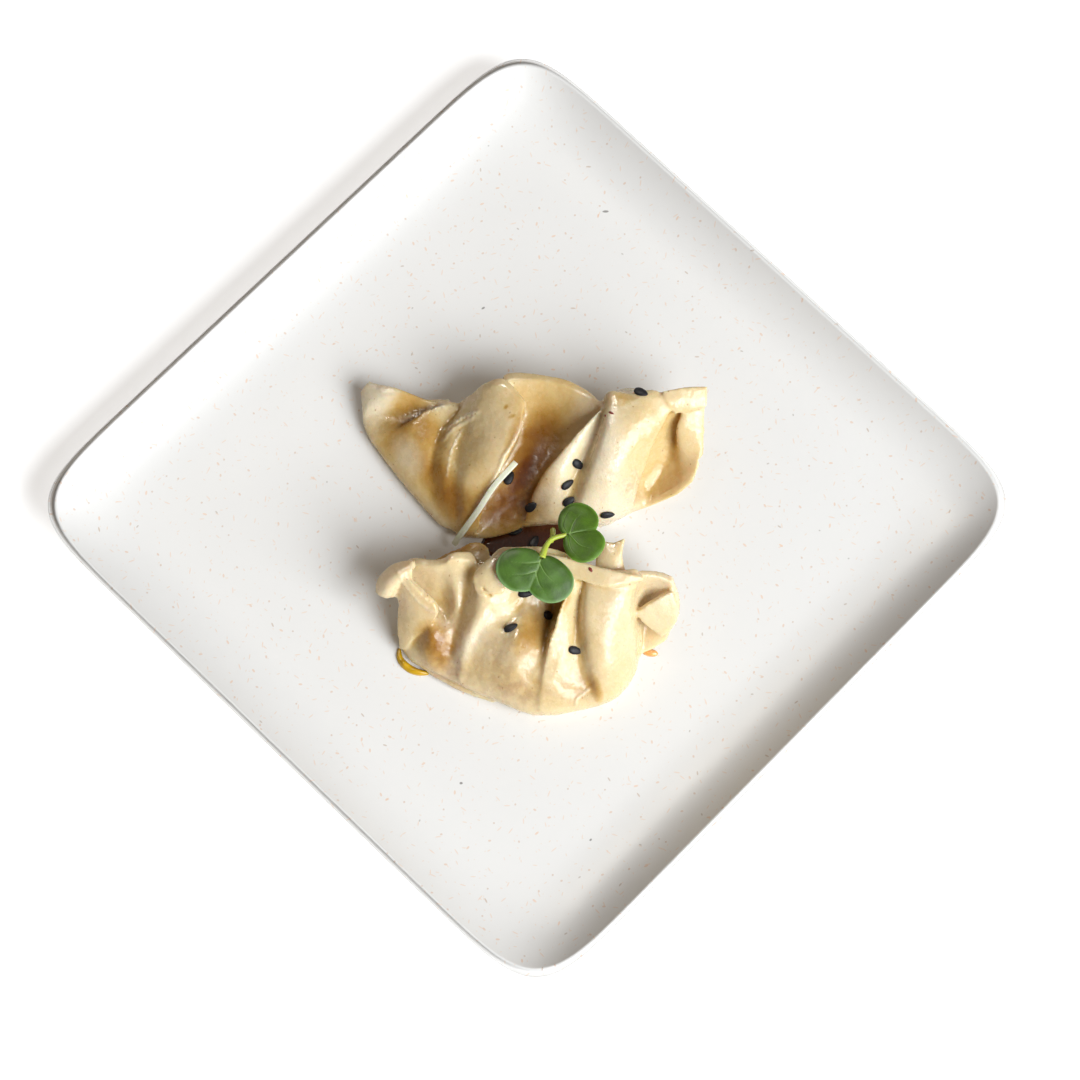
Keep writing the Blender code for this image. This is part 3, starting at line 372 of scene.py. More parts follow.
# Sprout: two heart-shaped leaves. A vein is its route, in shares of the leaf's reach, and its width. The
# outline has angles from the leaf's heading, in degrees, and the edge's place there, as a share of reach.
LEAF_THICKNESS = 0.45
LEAF_ANGLES, LEAF_RINGS = 96, 36
LEAF_RIM = 0.07  # the share of the reach that is rim
MAIN_VEIN = (((0, 0), (0.3, 0.02), (0.74, 0)), 0.28)
Leaf = namedtuple("Leaf", "joint heading reach pitch roll droop veins outline")
LEAVES = {
    "leaf_near": Leaf(
        (2.1, -16.9, 26.8), -110, 10.9, 8, -7, 1.4,
        (
            MAIN_VEIN,
            (((0.1, 0), (0.22, -0.25), (0.3, -0.6)), 0.2),
            (((0.3, 0), (0.45, -0.2), (0.62, -0.62)), 0.2),
            (((0.12, 0), (0.3, 0.2), (0.45, 0.55)), 0.2),
            (((0.34, 0), (0.52, 0.12), (0.72, 0.36)), 0.2),
        ),
        ((0, 0.76), (9, 0.84), (28, 0.97), (58, 1.0), (80, 0.8), (98, 0.45), (125, 0.12)),
    ),
    "leaf_far": Leaf(
        (8.3, -11.0, 25.6), 12, 9.0, 1, -6, 1.2,
        (
            MAIN_VEIN,
            (((0, 0), (-0.05, 0.25), (0.1, 0.55), (0.3, 0.72)), 0.2),
            (((0.08, 0.02), (0.25, 0.3), (0.55, 0.55)), 0.2),
            (((0.06, 0), (0.25, -0.35), (0.5, -0.5)), 0.2),
            (((0.02, -0.02), (0.0, -0.4), (0.15, -0.7)), 0.16),
        ),
        ((0, 0.77), (9, 0.88), (24, 1.0), (58, 0.97), (85, 0.75), (112, 0.4), (140, 0.12)),
    ),
}  # fmt: skip
STALK_SIDES = 16
STALK_ROUTE = ((2.2, -16.9, 26.7), (3.4, -13.8, 26.4), (4.8, -12.1, 25.9), (8.0, -11.0, 25.5))
STALK_RADII = (0.95, 0.62, 0.6, 0.5)
STUB_ROUTE = ((4.6, -12.6, 25.6), (5.0, -10.4, 23.5), (5.2, -8.4, 20.5))
STUB_RADII = (0.5, 0.6, 0.62)

SHRED_ROUTE = (
    (-3.2, 9.3, 17.4), (-8.4, 3.6, 16.8), (-12.2, -1.6, 14.0), (-15.3, -5.0, 10.2), (-17.8, -7.6, 6.4),
)  # fmt: skip
SHRED_WIDTH, SHRED_DEPTH = 1.4, 0.9

# The dab of mustard, the drop of thin sauce and the pool between the dumplings
DAB_ROUTE = ((-31, -32.6), (-30.8, -35), (-29, -37.2), (-26.8, -38.3), (-24, -38.7))
DAB_WIDTH, DAB_HEIGHT = 1.9, 1.2
DROP_CENTRE = (28.6, -33.9)
DROP_SIZE = (3.8, 1.9, 0.9)
POOL = (
    (-11.6, -7.2), (-10.4, -5.2), (-6.5, -4.2), (-2, -1), (3, 0), (8, -2),
    (11.5, -5), (11, -9), (6, -12), (0, -12.5), (-5, -11), (-9.5, -9.5),
)  # fmt: skip
POOL_HEIGHT = 0.5
BEAD_SIDES, POOL_RINGS = 24, 10

# Camera, light and floor, in the layout. The camera was fitted to the plate's outline.
CAMERA_PLACE = (-35.15, -270.53, 908.88)
CAMERA_AIM = (2.32, -9.49, 16.0)
CAMERA_ROLL = math.radians(7.61)
CAMERA_LENS = 131.47
CAMERA_SENSOR = 36.0
KEY_PLACE = (1086, -911, 1189)
SHEEN_PLACE = (-340, 590, 1150)
STAGE_SIDE, STAGE_DROP = 8000, 0.2  # the floor, just under the plate's foot
STAGE_GLOW = 0.5  # keeps the floor pale in the plate's shadow


# Shader maths


class Signal:
    """A value, colour or vector in a material. Arithmetic on it adds the Math nodes for it."""

    def __init__(self, finish, socket):
        self.finish, self.socket = finish, socket

    def _maths(self, operation, *terms):
        vectors = any(isinstance(term, Signal) and term.socket.type == "VECTOR" for term in terms)
        kind = "VectorMath" if vectors else "Math"
        return self.finish.node(kind, {"operation": operation}, terms)

    def __add__(self, other):
        return self._maths("ADD", self, other)

    def __sub__(self, other):
        return self._maths("SUBTRACT", self, other)

    def __mul__(self, other):
        return self._maths("MULTIPLY", self, other)

    def __truediv__(self, other):
        return self._maths("DIVIDE", self, other)

    def __rsub__(self, other):
        return self._maths("SUBTRACT", other, self)

    def __rtruediv__(self, other):
        return self._maths("DIVIDE", other, self)

    __radd__ = __add__
    __rmul__ = __mul__


class Finish:
    """A material, and the one way in which its nodes are made."""

    def __init__(self, name):
        self.material = bpy.data.materials.new(name)
        self.material.use_nodes = True
        self.nodes = self.material.node_tree.nodes
        self.links = self.material.node_tree.links
        self.shader = self.nodes["Principled BSDF"]

    def feed(self, socket, value):
        if isinstance(value, Signal):
            self.links.new(value.socket, socket)
        elif hasattr(value, "__len__") and socket.type == "RGBA":
            socket.default_value = (*tuple(value)[:3], 1)
        else:
            socket.default_value = value

    def node(self, kind, settings=None, inputs=(), output=0):
        """Adds a node, sets it, then feeds its sockets, which go by number or by name."""
        made = self.nodes.new("ShaderNode" + kind)
        for name, value in (settings or {}).items():
            if name == "stops":
                ramp = made.color_ramp
                for place, _ in value[2:]:
                    ramp.elements.new(place)
                for element, (place, colour) in zip(ramp.elements, sorted(value)):
                    element.position, element.color = place, (*colour, 1)
            else:
                setattr(made, name, value)
        for key, value in inputs.items() if isinstance(inputs, dict) else enumerate(inputs):
            self.feed(made.inputs[key], value)
        return Signal(self, made.outputs[output])

    def surface(self, **inputs):
        """Feeds the Principled shader: base_color feeds Base Color, and so on."""
        for name, value in inputs.items():
            self.feed(self.shader.inputs[name.replace("_", " ").title().replace("Ior", "IOR")], value)
        return self.material

    def parts(self, kind, whole):
        """The three parts of a vector, by SeparateXYZ, or of a colour, by SeparateColor."""
        sockets = self.node(kind, inputs=[whole]).socket.node.outputs
        return [Signal(self, socket) for socket in sockets]

    def place(self):
        return self.node("TexCoord", output="Object")

    def attribute(self, name):
        return self.node("Attribute", {"attribute_name": name}, output="Fac")

    def grain(self, place, size, detail, roughness=0.5, distortion=0.0):
        """Noise from 0 to 1 whose lumps are about this many metres across."""
        inputs = {"Vector": place, "Scale": 1 / size, "Detail": detail, "Roughness": roughness,
                  "Distortion": distortion}  # fmt: skip
        return self.node("TexNoise", inputs=inputs, output="Fac")

    def step(self, value, low, high):
        """0 below low, 1 above high and smooth between; the other way round where low is the higher."""
        settings = {"interpolation_type": "SMOOTHSTEP"}
        if low < high:
            return self.node("MapRange", settings, {"Value": value, "From Min": low, "From Max": high})
        return 1 - self.node("MapRange", settings, {"Value": value, "From Min": high, "From Max": low})

    def mix(self, share, first, second):
        """The first colour where share is 0, and the second where it is 1."""
        return self.node("Mix", {"data_type": "RGBA"}, {0: share, 6: first, 7: second}, output=2)

    def tinted(self, colour, depth, tint):
        """The colour darkened towards tint as by light gone this deep through something that lets tint
        through at depth 1; the dough uses it for its amber, its stains and its painted shade.
        """
        deepest, stops = 2.5, 10
        shares = [k / stops for k in range(stops + 1)]
        ramp = [(share, tuple(part ** (deepest * share) for part in tint)) for share in shares]
        filtered = self.node("ValToRGB", {"stops": ramp}, [depth / deepest])
        return self.node("VectorMath", {"operation": "MULTIPLY"}, [colour, filtered])

    def bump(self, height, depth, normal=None):
        """A normal from a height that is 0 to 1 for depth metres."""
        inputs = {"Height": height, "Distance": depth, "Strength": 1.0}
        if normal:
            inputs["Normal"] = normal
        return self.node("Bump", inputs=inputs)


# Meshes


def on_frame(points):
    """The layout's millimetres as metres in the frame."""
    turn = np.array(Matrix.Rotation(SERVING_TURN, 3, "Z"))
    return (np.asarray(points, float) + SERVING_PLACE) @ turn.T * MM


def mesh_from(name, points, faces):
    mesh = bpy.data.meshes.new(name)
    mesh.from_pydata([tuple(point) for point in points], [], faces)
    shape = bmesh.new()
    shape.from_mesh(mesh)
    bmesh.ops.recalc_face_normals(shape, faces=shape.faces)
    shape.to_mesh(mesh)
    shape.free()
    return mesh


def new_piece(name, mesh, material, nodes=()):
    """An object that rides on the plate, wears this material and stands for these nodes of the frame."""
    piece = bpy.data.objects.new(name, mesh)
    bpy.context.scene.collection.objects.link(piece)
    mesh.materials.clear()
    mesh.materials.append(material)
    mesh.shade_smooth()
    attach(piece, "root")
    if nodes:
        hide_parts(*nodes)
    return piece


def laid_piece(name, points, faces, material, nodes=()):
    """A new piece from points in the layout."""
    return new_piece(name, mesh_from(name, on_frame(points), faces), material, nodes)


def vectors_of(mesh, kind):
    """Each vertex's place, which Blender calls co, or its normal."""
    vectors = np.empty(len(mesh.vertices) * 3)
    mesh.vertices.foreach_get(kind, vectors)
    return vectors.reshape(-1, 3)


def edge_ends(mesh):
    """The numbers of the vertices at the first and at the second end of each edge."""
    ends = np.empty(len(mesh.edges) * 2, int)
    mesh.edges.foreach_get("vertices", ends)
    return ends.reshape(-1, 2).T


def set_points(mesh, points):
    mesh.vertices.foreach_set("co", np.ravel(points))
    mesh.update()


def paint(mesh, name, values):
    """Keeps a number for each vertex, for the material to read."""
    layer = mesh.attributes.new(name, "FLOAT", "POINT")
    layer.data.foreach_set("value", np.ascontiguousarray(values, np.float32))


def baked(piece):
    """Applies the piece's modifiers."""
    graph = bpy.context.evaluated_depsgraph_get()
    mesh = bpy.data.meshes.new_from_object(piece.evaluated_get(graph))
    piece.modifiers.clear()
    piece.data = mesh
    return mesh


def blurred(mesh, values, passes):
    """Values on the vertices, evened out with their neighbours' this many times."""
    a, b = edge_ends(mesh)
    count = len(mesh.vertices)
    degree = np.maximum(np.bincount(a, minlength=count) + np.bincount(b, minlength=count), 1)
    result = np.array(values, float).reshape(count, -1)
    for _ in range(passes):
        total = np.empty_like(result)
        for k in range(result.shape[1]):
            column = result[:, k]
            total[:, k] = np.bincount(a, column[b], count) + np.bincount(b, column[a], count)
        result = 0.5 * result + 0.5 * total / degree[:, None]
    return result.reshape(np.shape(values))


def lumps(points, size, seed):
    """Noise from -1 to 1 at each point, with lumps about this many units across."""
    shift = Vector((seed * 7.31, seed * 3.17, seed * 5.77))
    return np.array([noise.noise(Vector(point) / size + shift) for point in points])


# Curves and shells


def smooth(points, steps):
    """A centripetal Catmull-Rom curve through the points, or through whole rows of points at once."""
    knots = np.asarray(points, float)
    spans = np.linalg.norm(np.diff(knots, axis=0), axis=-1).reshape(len(knots) - 1, -1).mean(axis=1)
    gaps = np.sqrt(np.maximum(spans, 0.05)).reshape((-1,) + (1,) * (knots.ndim - 1))
    slopes = np.diff(knots, axis=0) / gaps
    inner = (slopes[:-1] * gaps[1:] + slopes[1:] * gaps[:-1]) / (gaps[:-1] + gaps[1:])
    tangents = np.concatenate((slopes[:1], inner, slopes[-1:]))
    rows = []
    for k, gap in enumerate(gaps):
        for t in np.arange(steps) / steps:
            ahead, behind = t * t * (3 - 2 * t), (1 + 2 * t) * (1 - t) ** 2
            turn = t * (1 - t) * ((1 - t) * tangents[k] - t * tangents[k + 1])
            rows.append(behind * knots[k] + ahead * knots[k + 1] + turn * gap)
    return np.array(rows + [knots[-1]])


def even(points, count):
    """The same curve as count + 1 points at equal distances along it."""
    knots = np.asarray(points, float)
    along = np.concatenate(([0], np.cumsum(np.linalg.norm(np.diff(knots, axis=0), axis=1))))
    wanted = np.linspace(0, along[-1], count + 1)
    return np.stack([np.interp(wanted, along, column) for column in knots.T], axis=1)


def normals_of(grid):
    """Unit normals of a grid of points, evened out along its rows, on the side that mostly looks up."""
    across, along = np.gradient(grid, axis=0), np.gradient(grid, axis=1)
    normals = np.cross(across, along)
    for _ in range(3):
        ends = np.concatenate((normals[:1], normals, normals[-1:]))
        normals = ends[:-2] + 2 * ends[1:-1] + ends[2:]
    normals /= np.maximum(np.linalg.norm(normals, axis=-1, keepdims=True), 1e-6)
    return normals if normals[..., 2].mean() > 0 else -normals


def grid_faces(rows, columns, start=0, closed=False):
    """Quads of a grid, whose last row also joins its first when it is closed."""
    faces = []
    for i in range(rows if closed else rows - 1):
        for j in range(columns - 1):
            a, b = start + i * columns + j, start + (i + 1) % rows * columns + j
            faces.append((a, b, b + 1, a + 1))
    return faces


def shell_between(front, back):
    """Points and faces of the closed skin between two grids of the same size."""
    rows, columns = front.shape[:2]
    size = rows * columns
    edge = [(i, 0) for i in range(rows)] + [(rows - 1, j) for j in range(1, columns)]
    edge += [(i, columns - 1) for i in range(rows - 2, -1, -1)]
    edge += [(0, j) for j in range(columns - 2, 0, -1)]
    loop = [i * columns + j for i, j in edge]
    rim = [(a, b, b + size, a + size) for a, b in zip(loop, loop[1:] + loop[:1])]
    points = np.concatenate((front.reshape(-1, 3), back.reshape(-1, 3)))
    return points, grid_faces(rows, columns) + grid_faces(rows, columns, size) + rim


def joined(shells):
    """Points and faces of several shells as one list of each."""
    points, faces = [], []
    for shell_points, shell_faces in shells:
        start = sum(len(part) for part in points)
        points.append(shell_points)
        faces += [tuple(corner + start for corner in face) for face in shell_faces]
    return np.concatenate(points), faces


def sweep(route, outline, steps, sizes=(1, 1)):
    """The closed skin of an outline, as (sideways, upwards) pairs, carried along a smooth route.

    The outline grows and shrinks to these sizes, from the route's one end to its other.
    """
    line = smooth(route, steps)
    ahead = np.gradient(line, axis=0)
    ahead /= np.linalg.norm(ahead, axis=1)[:, None]
    side = np.cross(ahead, (0, 0, 1))
    side /= np.linalg.norm(side, axis=1)[:, None]
    up = np.cross(side, ahead)
    size = smooth(np.array(sizes, float)[:, None], 40)[:, 0]
    size = np.interp(np.linspace(0, 1, len(line)), np.linspace(0, 1, len(size)), size)[:, None]
    rings = [line + size * (side * across + up * above) for across, above in outline]
    columns, sides = len(line), len(outline)
    faces = grid_faces(sides, columns, closed=True)
    faces.append(tuple(k * columns for k in range(sides)))
    faces.append(tuple(k * columns + columns - 1 for k in range(sides)))
    return np.concatenate(rings), faces


# Dumplings


def fold_lines(fold):
    """A fold's outer line and its line on the back, both from the seam to the foot, and how full it is."""
    seam, foot = np.array(fold.seam, float), np.array((*fold.foot, 0.0))

    def station(share, height, bow=0.0):
        place = seam + (foot - seam) * share
        return place[0] + bow, place[1], height

    brim = fold.fill * BRIM * fold.belly + (1 - fold.fill) * (fold.lift + DOUGH)
    sole = (1 - fold.fill) * (fold.lift + DOUGH / 2)
    outer = (
        fold.seam,
        station(NECK_AT, fold.neck, fold.bow[0]),
        station(BELLY_AT, fold.belly, fold.bow[1]),
        station(1, brim),
        station(SOLE_AT, sole),
    )
    x, y, top = fold.seam
    reach = HEEL + fold.heel
    inner = [(x, y + DOUGH, top - DOUGH / 4)]
    for lean, out, shift, rise in BACK:
        inner.append((x + (foot[0] - x) * lean, y + reach * out - shift, top * rise))
    inner += [station(CORE_AT, 0), station(SOLE_AT, 0)]
    return even(smooth(outer, 24), FOLD_STEPS), even(smooth(inner, 24), FOLD_STEPS), fold.fill


def tucked_under(line, fold):
    """The line that a lapping crest covers: further back and deeper, most of all halfway down."""
    along = np.linspace(0, 1, FOLD_STEPS + 1)
    share = np.clip(along / (LAP_REACH * fold.reach), 0, 1)
    pinched = np.sin(np.pi * share).clip(0) ** 0.7
    free = np.cos(np.pi / 2 * share).clip(0) ** 0.6
    depth = (1 - fold.gape) * pinched + fold.gape * free
    under = line - depth[:, None] * np.array((fold.lap, 0, fold.tuck))
    under[:, 2] = np.maximum(under[:, 2], np.minimum(line[:, 2], 1.0))
    return under


def wrapper(folds):
    """The closed skin of a pleated dumpling."""
    outer, inner, fills = [], [], []
    for fold in folds.values():
        line, back, fill = fold_lines(fold)
        pair = [line, tucked_under(line, fold)] if fold.lap else [line]
        for each in pair if fold.lap > 0 else pair[::-1]:
            outer.append(each)
            inner.append(back)
            fills.append(np.full((FOLD_STEPS + 1, 1), fill, float))
    front = smooth(outer, BETWEEN_FOLDS)
    filled = smooth(inner, BETWEEN_FOLDS)
    fill = np.clip(smooth(fills, BETWEEN_FOLDS), 0, 1)
    thin = front - DOUGH * normals_of(front)
    return shell_between(front, fill * filled + (1 - fill) * thin)


def loose_flap(rails):
    """The closed skin of a flap of dough through its rails."""
    middle = smooth([smooth(rail, FLAP_STEPS) for rail in rails], FLAP_STEPS)
    out = 0.5 * DOUGH * normals_of(middle)
    return shell_between(middle + out, middle - out)


def keep_largest(mesh):
    """Drops the crumbs that remeshing leaves apart from the body."""
    a, b = edge_ends(mesh)
    island = np.arange(len(mesh.vertices))
    while True:
        low = np.minimum(island[a], island[b])
        after = island.copy()
        np.minimum.at(after, a, low)
        np.minimum.at(after, b, low)
        after = after[after]
        if (after == island).all():
            break
        island = after
    body = np.bincount(island).argmax()
    shape = bmesh.new()
    shape.from_mesh(mesh)
    shape.verts.ensure_lookup_table()
    crumbs = [shape.verts[k] for k in np.flatnonzero(island != body)]
    bmesh.ops.delete(shape, geom=crumbs, context="VERTS")
    shape.to_mesh(mesh)
    shape.free()


def cut_flat(mesh, level):
    """Cuts away what is below this height, and closes the cut."""
    shape = bmesh.new()
    shape.from_mesh(mesh)
    everything = shape.verts[:] + shape.edges[:] + shape.faces[:]
    bmesh.ops.bisect_plane(
        shape, geom=everything, dist=1e-4, plane_co=(0, 0, level), plane_no=(0, 0, 1), clear_inner=True
    )
    bmesh.ops.holes_fill(shape, edges=[edge for edge in shape.edges if edge.is_boundary])
    bmesh.ops.triangulate(shape, faces=[face for face in shape.faces if len(face.verts) > 4])
    bmesh.ops.recalc_face_normals(shape, faces=shape.faces)
    shape.to_mesh(mesh)
    shape.free()


def distance_to(points, route):
    """How far each point is from a route, seen from above, and how far along it that is, from 0 to 1."""
    line = smooth(np.array(route, float), 6)
    nearest = np.full(len(points), 1e6)
    share = np.zeros(len(points))
    for k, (a, b) in enumerate(zip(line, line[1:])):
        run = b - a
        along = np.clip((points[:, :2] - a) @ run / max(run @ run, 1e-9), 0, 1)
        gap = np.linalg.norm(points[:, :2] - a - along[:, None] * run, axis=1)
        closer = gap < nearest
        nearest = np.where(closer, gap, nearest)
        share = np.where(closer, (k + along) / (len(line) - 1), share)
    return nearest, share


def patch_mask(points, patch):
    """The patch's strength in its middle, and 0 outside it."""
    turn = math.radians(patch.turn)
    x, y = points[:, 0] - patch.x, points[:, 1] - patch.y
    along = (x * math.cos(turn) + y * math.sin(turn)) / patch.length
    across = (y * math.cos(turn) - x * math.sin(turn)) / patch.width
    return patch.strength * np.clip(1 - along**2 - across**2, 0, 1) ** 1.4


def dumpling_mesh(name, folds, flaps, centre, marks, patches, voxel):
    """One dumpling's skin, with its marks and lumps, and the numbers that its material reads."""
    points, faces = joined([wrapper(folds)] + [loose_flap(rails) for rails in flaps.values()])
    points = points + (centre[0], centre[1], FOOD_BASE - SUNK)
    piece = bpy.data.objects.new(name, mesh_from(name, points, faces))
    bpy.context.scene.collection.objects.link(piece)
    remesh = piece.modifiers.new("remesh", "REMESH")
    remesh.mode = "VOXEL"
    remesh.voxel_size = voxel
    soften = piece.modifiers.new("soften", "SMOOTH")
    soften.iterations = KNEADING
    soften.factor = 0.5
    mesh = baked(piece)
    bpy.data.objects.remove(piece)
    keep_largest(mesh)
    points, normals = vectors_of(mesh, "co"), vectors_of(mesh, "normal")
    up = np.clip(normals[:, 2] * 2, 0, 1)
    masks = {}
    for kind, group in patches.items():
        masks[kind] = np.max([patch_mask(points, patch) for patch in group], axis=0)
    rise, pale = np.zeros(len(points)), np.zeros(len(points))
    for number, (depth, over_filling, size) in enumerate(UNEVENNESS, 1):
        rise += depth * (1 + over_filling * masks["filling"]) * lumps(points, size, number)
    for number, mark in enumerate(marks):
        gap, share = distance_to(points, mark.route)
        near = gap < 2 * mark.width + 1
        gap[near] += mark.rag * lumps(points[near], 0.8, 10 + number)
        line = np.exp(-((gap / mark.width) ** 2)) * np.clip(6 * np.minimum(share, 1 - share), 0, 1) * up
        rise += mark.rise * line
        pale = np.maximum(pale, mark.pale * line)
    points = points + normals * rise[:, None]
    set_points(mesh, points)
    normals = vectors_of(mesh, "normal")
    # How deep each point lies in a wide valley or a narrow crease, which the material darkens as painted
    # shade
    for hollow, passes in (("valley", VALLEY_PASSES), ("crease", CREASE_PASSES)):
        paint(mesh, hollow, np.sum((blurred(mesh, points, passes) - points) * normals, axis=1))
    # Pale: torn edges and raised lines, and milky patches that carry a painted sheen
    paint(mesh, "pale", np.maximum(pale, MILKY_SHEEN * masks.pop("milky_and_sheen")).clip(0, 1))
    for kind, mask in masks.items():
        paint(mesh, kind, mask)
    cut_flat(mesh, FLOOR + REST_GAP)
    set_points(mesh, on_frame(vectors_of(mesh, "co")))
    return mesh


# Plate


def rounded_square(half, reach, power):
    """Corner after corner, as points in the plane."""
    turns = np.linspace(0, math.pi / 2, CORNER_STEPS + 1)
    x = half - reach + reach * np.cos(turns).clip(0) ** (2 / power)
    y = half - reach + reach * np.sin(turns).clip(0) ** (2 / power)
    corner = np.stack((x, y), axis=1)
    return np.concatenate([corner, corner[:, ::-1] * (-1, 1), -corner, corner[:, ::-1] * (1, -1)])


def plate_profile():
    """From the middle of the underside, over the lip, to the middle of the floor, as (inset, height)."""
    insets = np.linspace(0, WALL_RUN, WALL_STEPS + 1)
    rise = (1 - insets / WALL_RUN) ** WALL_CURVE
    inner = np.stack((insets, FLOOR + (PLATE_HEIGHT - FLOOR) * rise), axis=1)
    ahead = np.gradient(inner, axis=0)
    outward = np.stack((ahead[:, 1], -ahead[:, 0]), axis=1) / np.linalg.norm(ahead, axis=1)[:, None]
    wall = LIP + (PLATE_WALL - LIP) * np.minimum(1, 2 * insets / WALL_RUN)
    outer = inner + wall[:, None] * outward
    middle, start = (inner[0] + outer[0]) / 2, (outer[0] - inner[0]) / 2
    across = np.array((start[1], -start[0]))
    turns = np.linspace(0, math.pi, LIP_STEPS + 2)[1:-1]
    lip = [middle + start * math.cos(turn) - across * math.sin(turn) for turn in turns]
    under = [
        (FOOT_INSET + FOOT_WIDTH + FOOT_HEIGHT, FOOT_HEIGHT),
        (FOOT_INSET + FOOT_WIDTH, 0),
        (FOOT_INSET, 0),
        (FOOT_INSET - FOOT_HEIGHT, FOOT_HEIGHT),
    ]
    profile = np.array(under + list(outer[::-1]) + lip + list(inner))
    profile[:, 0] -= profile[:, 0].min()
    profile[:, 1] *= PLATE_HEIGHT / profile[:, 1].max()
    return profile


def plate_mesh():
    points = [np.array([(0, 0, FOOT_HEIGHT)])]
    profile = plate_profile()
    for inset, height in profile:
        share = min(1, inset / WALL_RUN)
        power = LIP_POWER + (FLOOR_POWER - LIP_POWER) * share
        flat = rounded_square(PLATE_SIDE / 2 - inset, CORNER_REACH * (1 - share / 4), power)
        points.append(np.column_stack((flat, np.full(len(flat), height))))
    points = np.concatenate(points + [[(0, 0, FLOOR)]])
    around = len(flat)
    last = len(points) - 1
    faces = []
    for row in range(len(profile) - 1):
        for k in range(around):
            after = (k + 1) % around
            start = 1 + row * around
            faces.append((start + k, start + after, start + around + after, start + around + k))
    for k in range(around):
        after = (k + 1) % around
        faces.append((0, 1 + after, 1 + k))
        faces.append((last, last - around + k, last - around + after))
    return mesh_from("plate", points * MM, faces)


# Sesame, flecks, sprout, shred and sauces


def seed_shell(length, width, thickness):
    """A sesame seed round its own middle: a flat drop, pointed at its right end, with a blunt rim."""
    points = [(-length / 2, 0, 0)]
    for ring in range(1, SEED_RINGS):
        turn = math.pi * ring / SEED_RINGS
        along = -math.cos(turn)
        breadth = math.sin(turn) ** 0.85 * (1 - 0.24 * along - 0.08 * along**2)
        for side in range(SEED_SIDES):
            angle = 2 * math.pi * side / SEED_SIDES
            wide, deep = math.cos(angle), math.sin(angle)
            blunt = 1 - 0.1 * math.cos(2 * angle) ** 2
            across = width / 2 * breadth * wide * blunt
            points.append((along * length / 2, across, thickness / 2 * breadth * deep))
    points.append((length / 2, 0, 0))
    faces = []
    for side in range(SEED_SIDES):
        after = (side + 1) % SEED_SIDES
        faces.append((0, 1 + side, 1 + after))
        for ring in range(SEED_RINGS - 2):
            a, b = 1 + ring * SEED_SIDES, 1 + (ring + 1) * SEED_SIDES
            faces.append((a + side, b + side, b + after, a + after))
        last = 1 + (SEED_RINGS - 2) * SEED_SIDES
        faces.append((last + side, len(points) - 1, last + after))
    return np.array(points), faces


def surface_tree(*meshes):
    """What things can be laid on: the meshes as one tree."""
    corners, faces = [], []
    for mesh in meshes:
        start = len(corners)
        corners += [vertex.co.copy() for vertex in mesh.vertices]
        faces += [[start + corner for corner in face.vertices] for face in mesh.polygons]
    return BVHTree.FromPolygons(corners, faces)


def laid_on(tree, x, y, turn, rise, tip=(0, 0)):
    """The matrix that lays a thing made round the origin, in millimetres, this far above what is there."""
    place, normal, *_ = tree.ray_cast(Vector(on_frame((x, y, 1000))), Vector((0, 0, -1)))
    if place is None:
        raise RuntimeError(f"nothing carries a thing at {x}, {y}")
    normal = (normal + Matrix.Rotation(SERVING_TURN, 3, "Z") @ Vector((*tip, 0))).normalized()
    angle = math.radians(turn) + SERVING_TURN
    flat = Vector((math.cos(angle), math.sin(angle), 0))
    ahead = (flat - normal * flat.dot(normal)).normalized()
    turned = Matrix((ahead, normal.cross(ahead), normal)).transposed().to_4x4()
    return np.array(Matrix.Translation(place + normal * rise * MM) @ turned @ Matrix.Scale(MM, 4))


def placed(matrix, points):
    return np.asarray(points) @ matrix[:3, :3].T + matrix[:3, 3]


def seeds_mesh(name, tree, seeds, look, chance):
    """All the seeds that lie on one thing, as one mesh."""
    shells = []
    for seed in seeds:
        length = look.length / MM * (1 + chance.uniform(-0.05, 0.05))
        width = look.width / MM * (1 + chance.uniform(-0.06, 0.06))
        thickness = look.thickness / MM
        points, faces = seed_shell(length, width, thickness)
        rise = thickness * (0.5 - seed.sunk)
        shells.append((placed(laid_on(tree, seed.x, seed.y, seed.turn, rise, seed.tip), points), faces))
    return mesh_from(name, *joined(shells))


def fleck_shell(length, width, thickness, chance):
    """A torn flake of dried chilli, with uneven corners."""
    corners = 7
    turns = np.linspace(0, 2 * math.pi, corners, endpoint=False)
    reach = 1 + 0.18 * chance.uniform(-1, 1, corners)
    flat = np.stack((length / 2 * reach * np.cos(turns), width / 2 * reach * np.sin(turns)), axis=1)
    rows, faces = [], [tuple(range(corners)), tuple(range(2 * corners, 3 * corners))]
    for share, height in ((0.9, -thickness / 2), (1, 0), (0.75, thickness / 2)):
        rows.append(np.column_stack((flat * share, np.full(corners, height))))
    for low in (0, corners):
        for k in range(corners):
            after = (k + 1) % corners
            faces.append((low + k, low + after, low + corners + after, low + corners + k))
    return np.concatenate(rows), faces


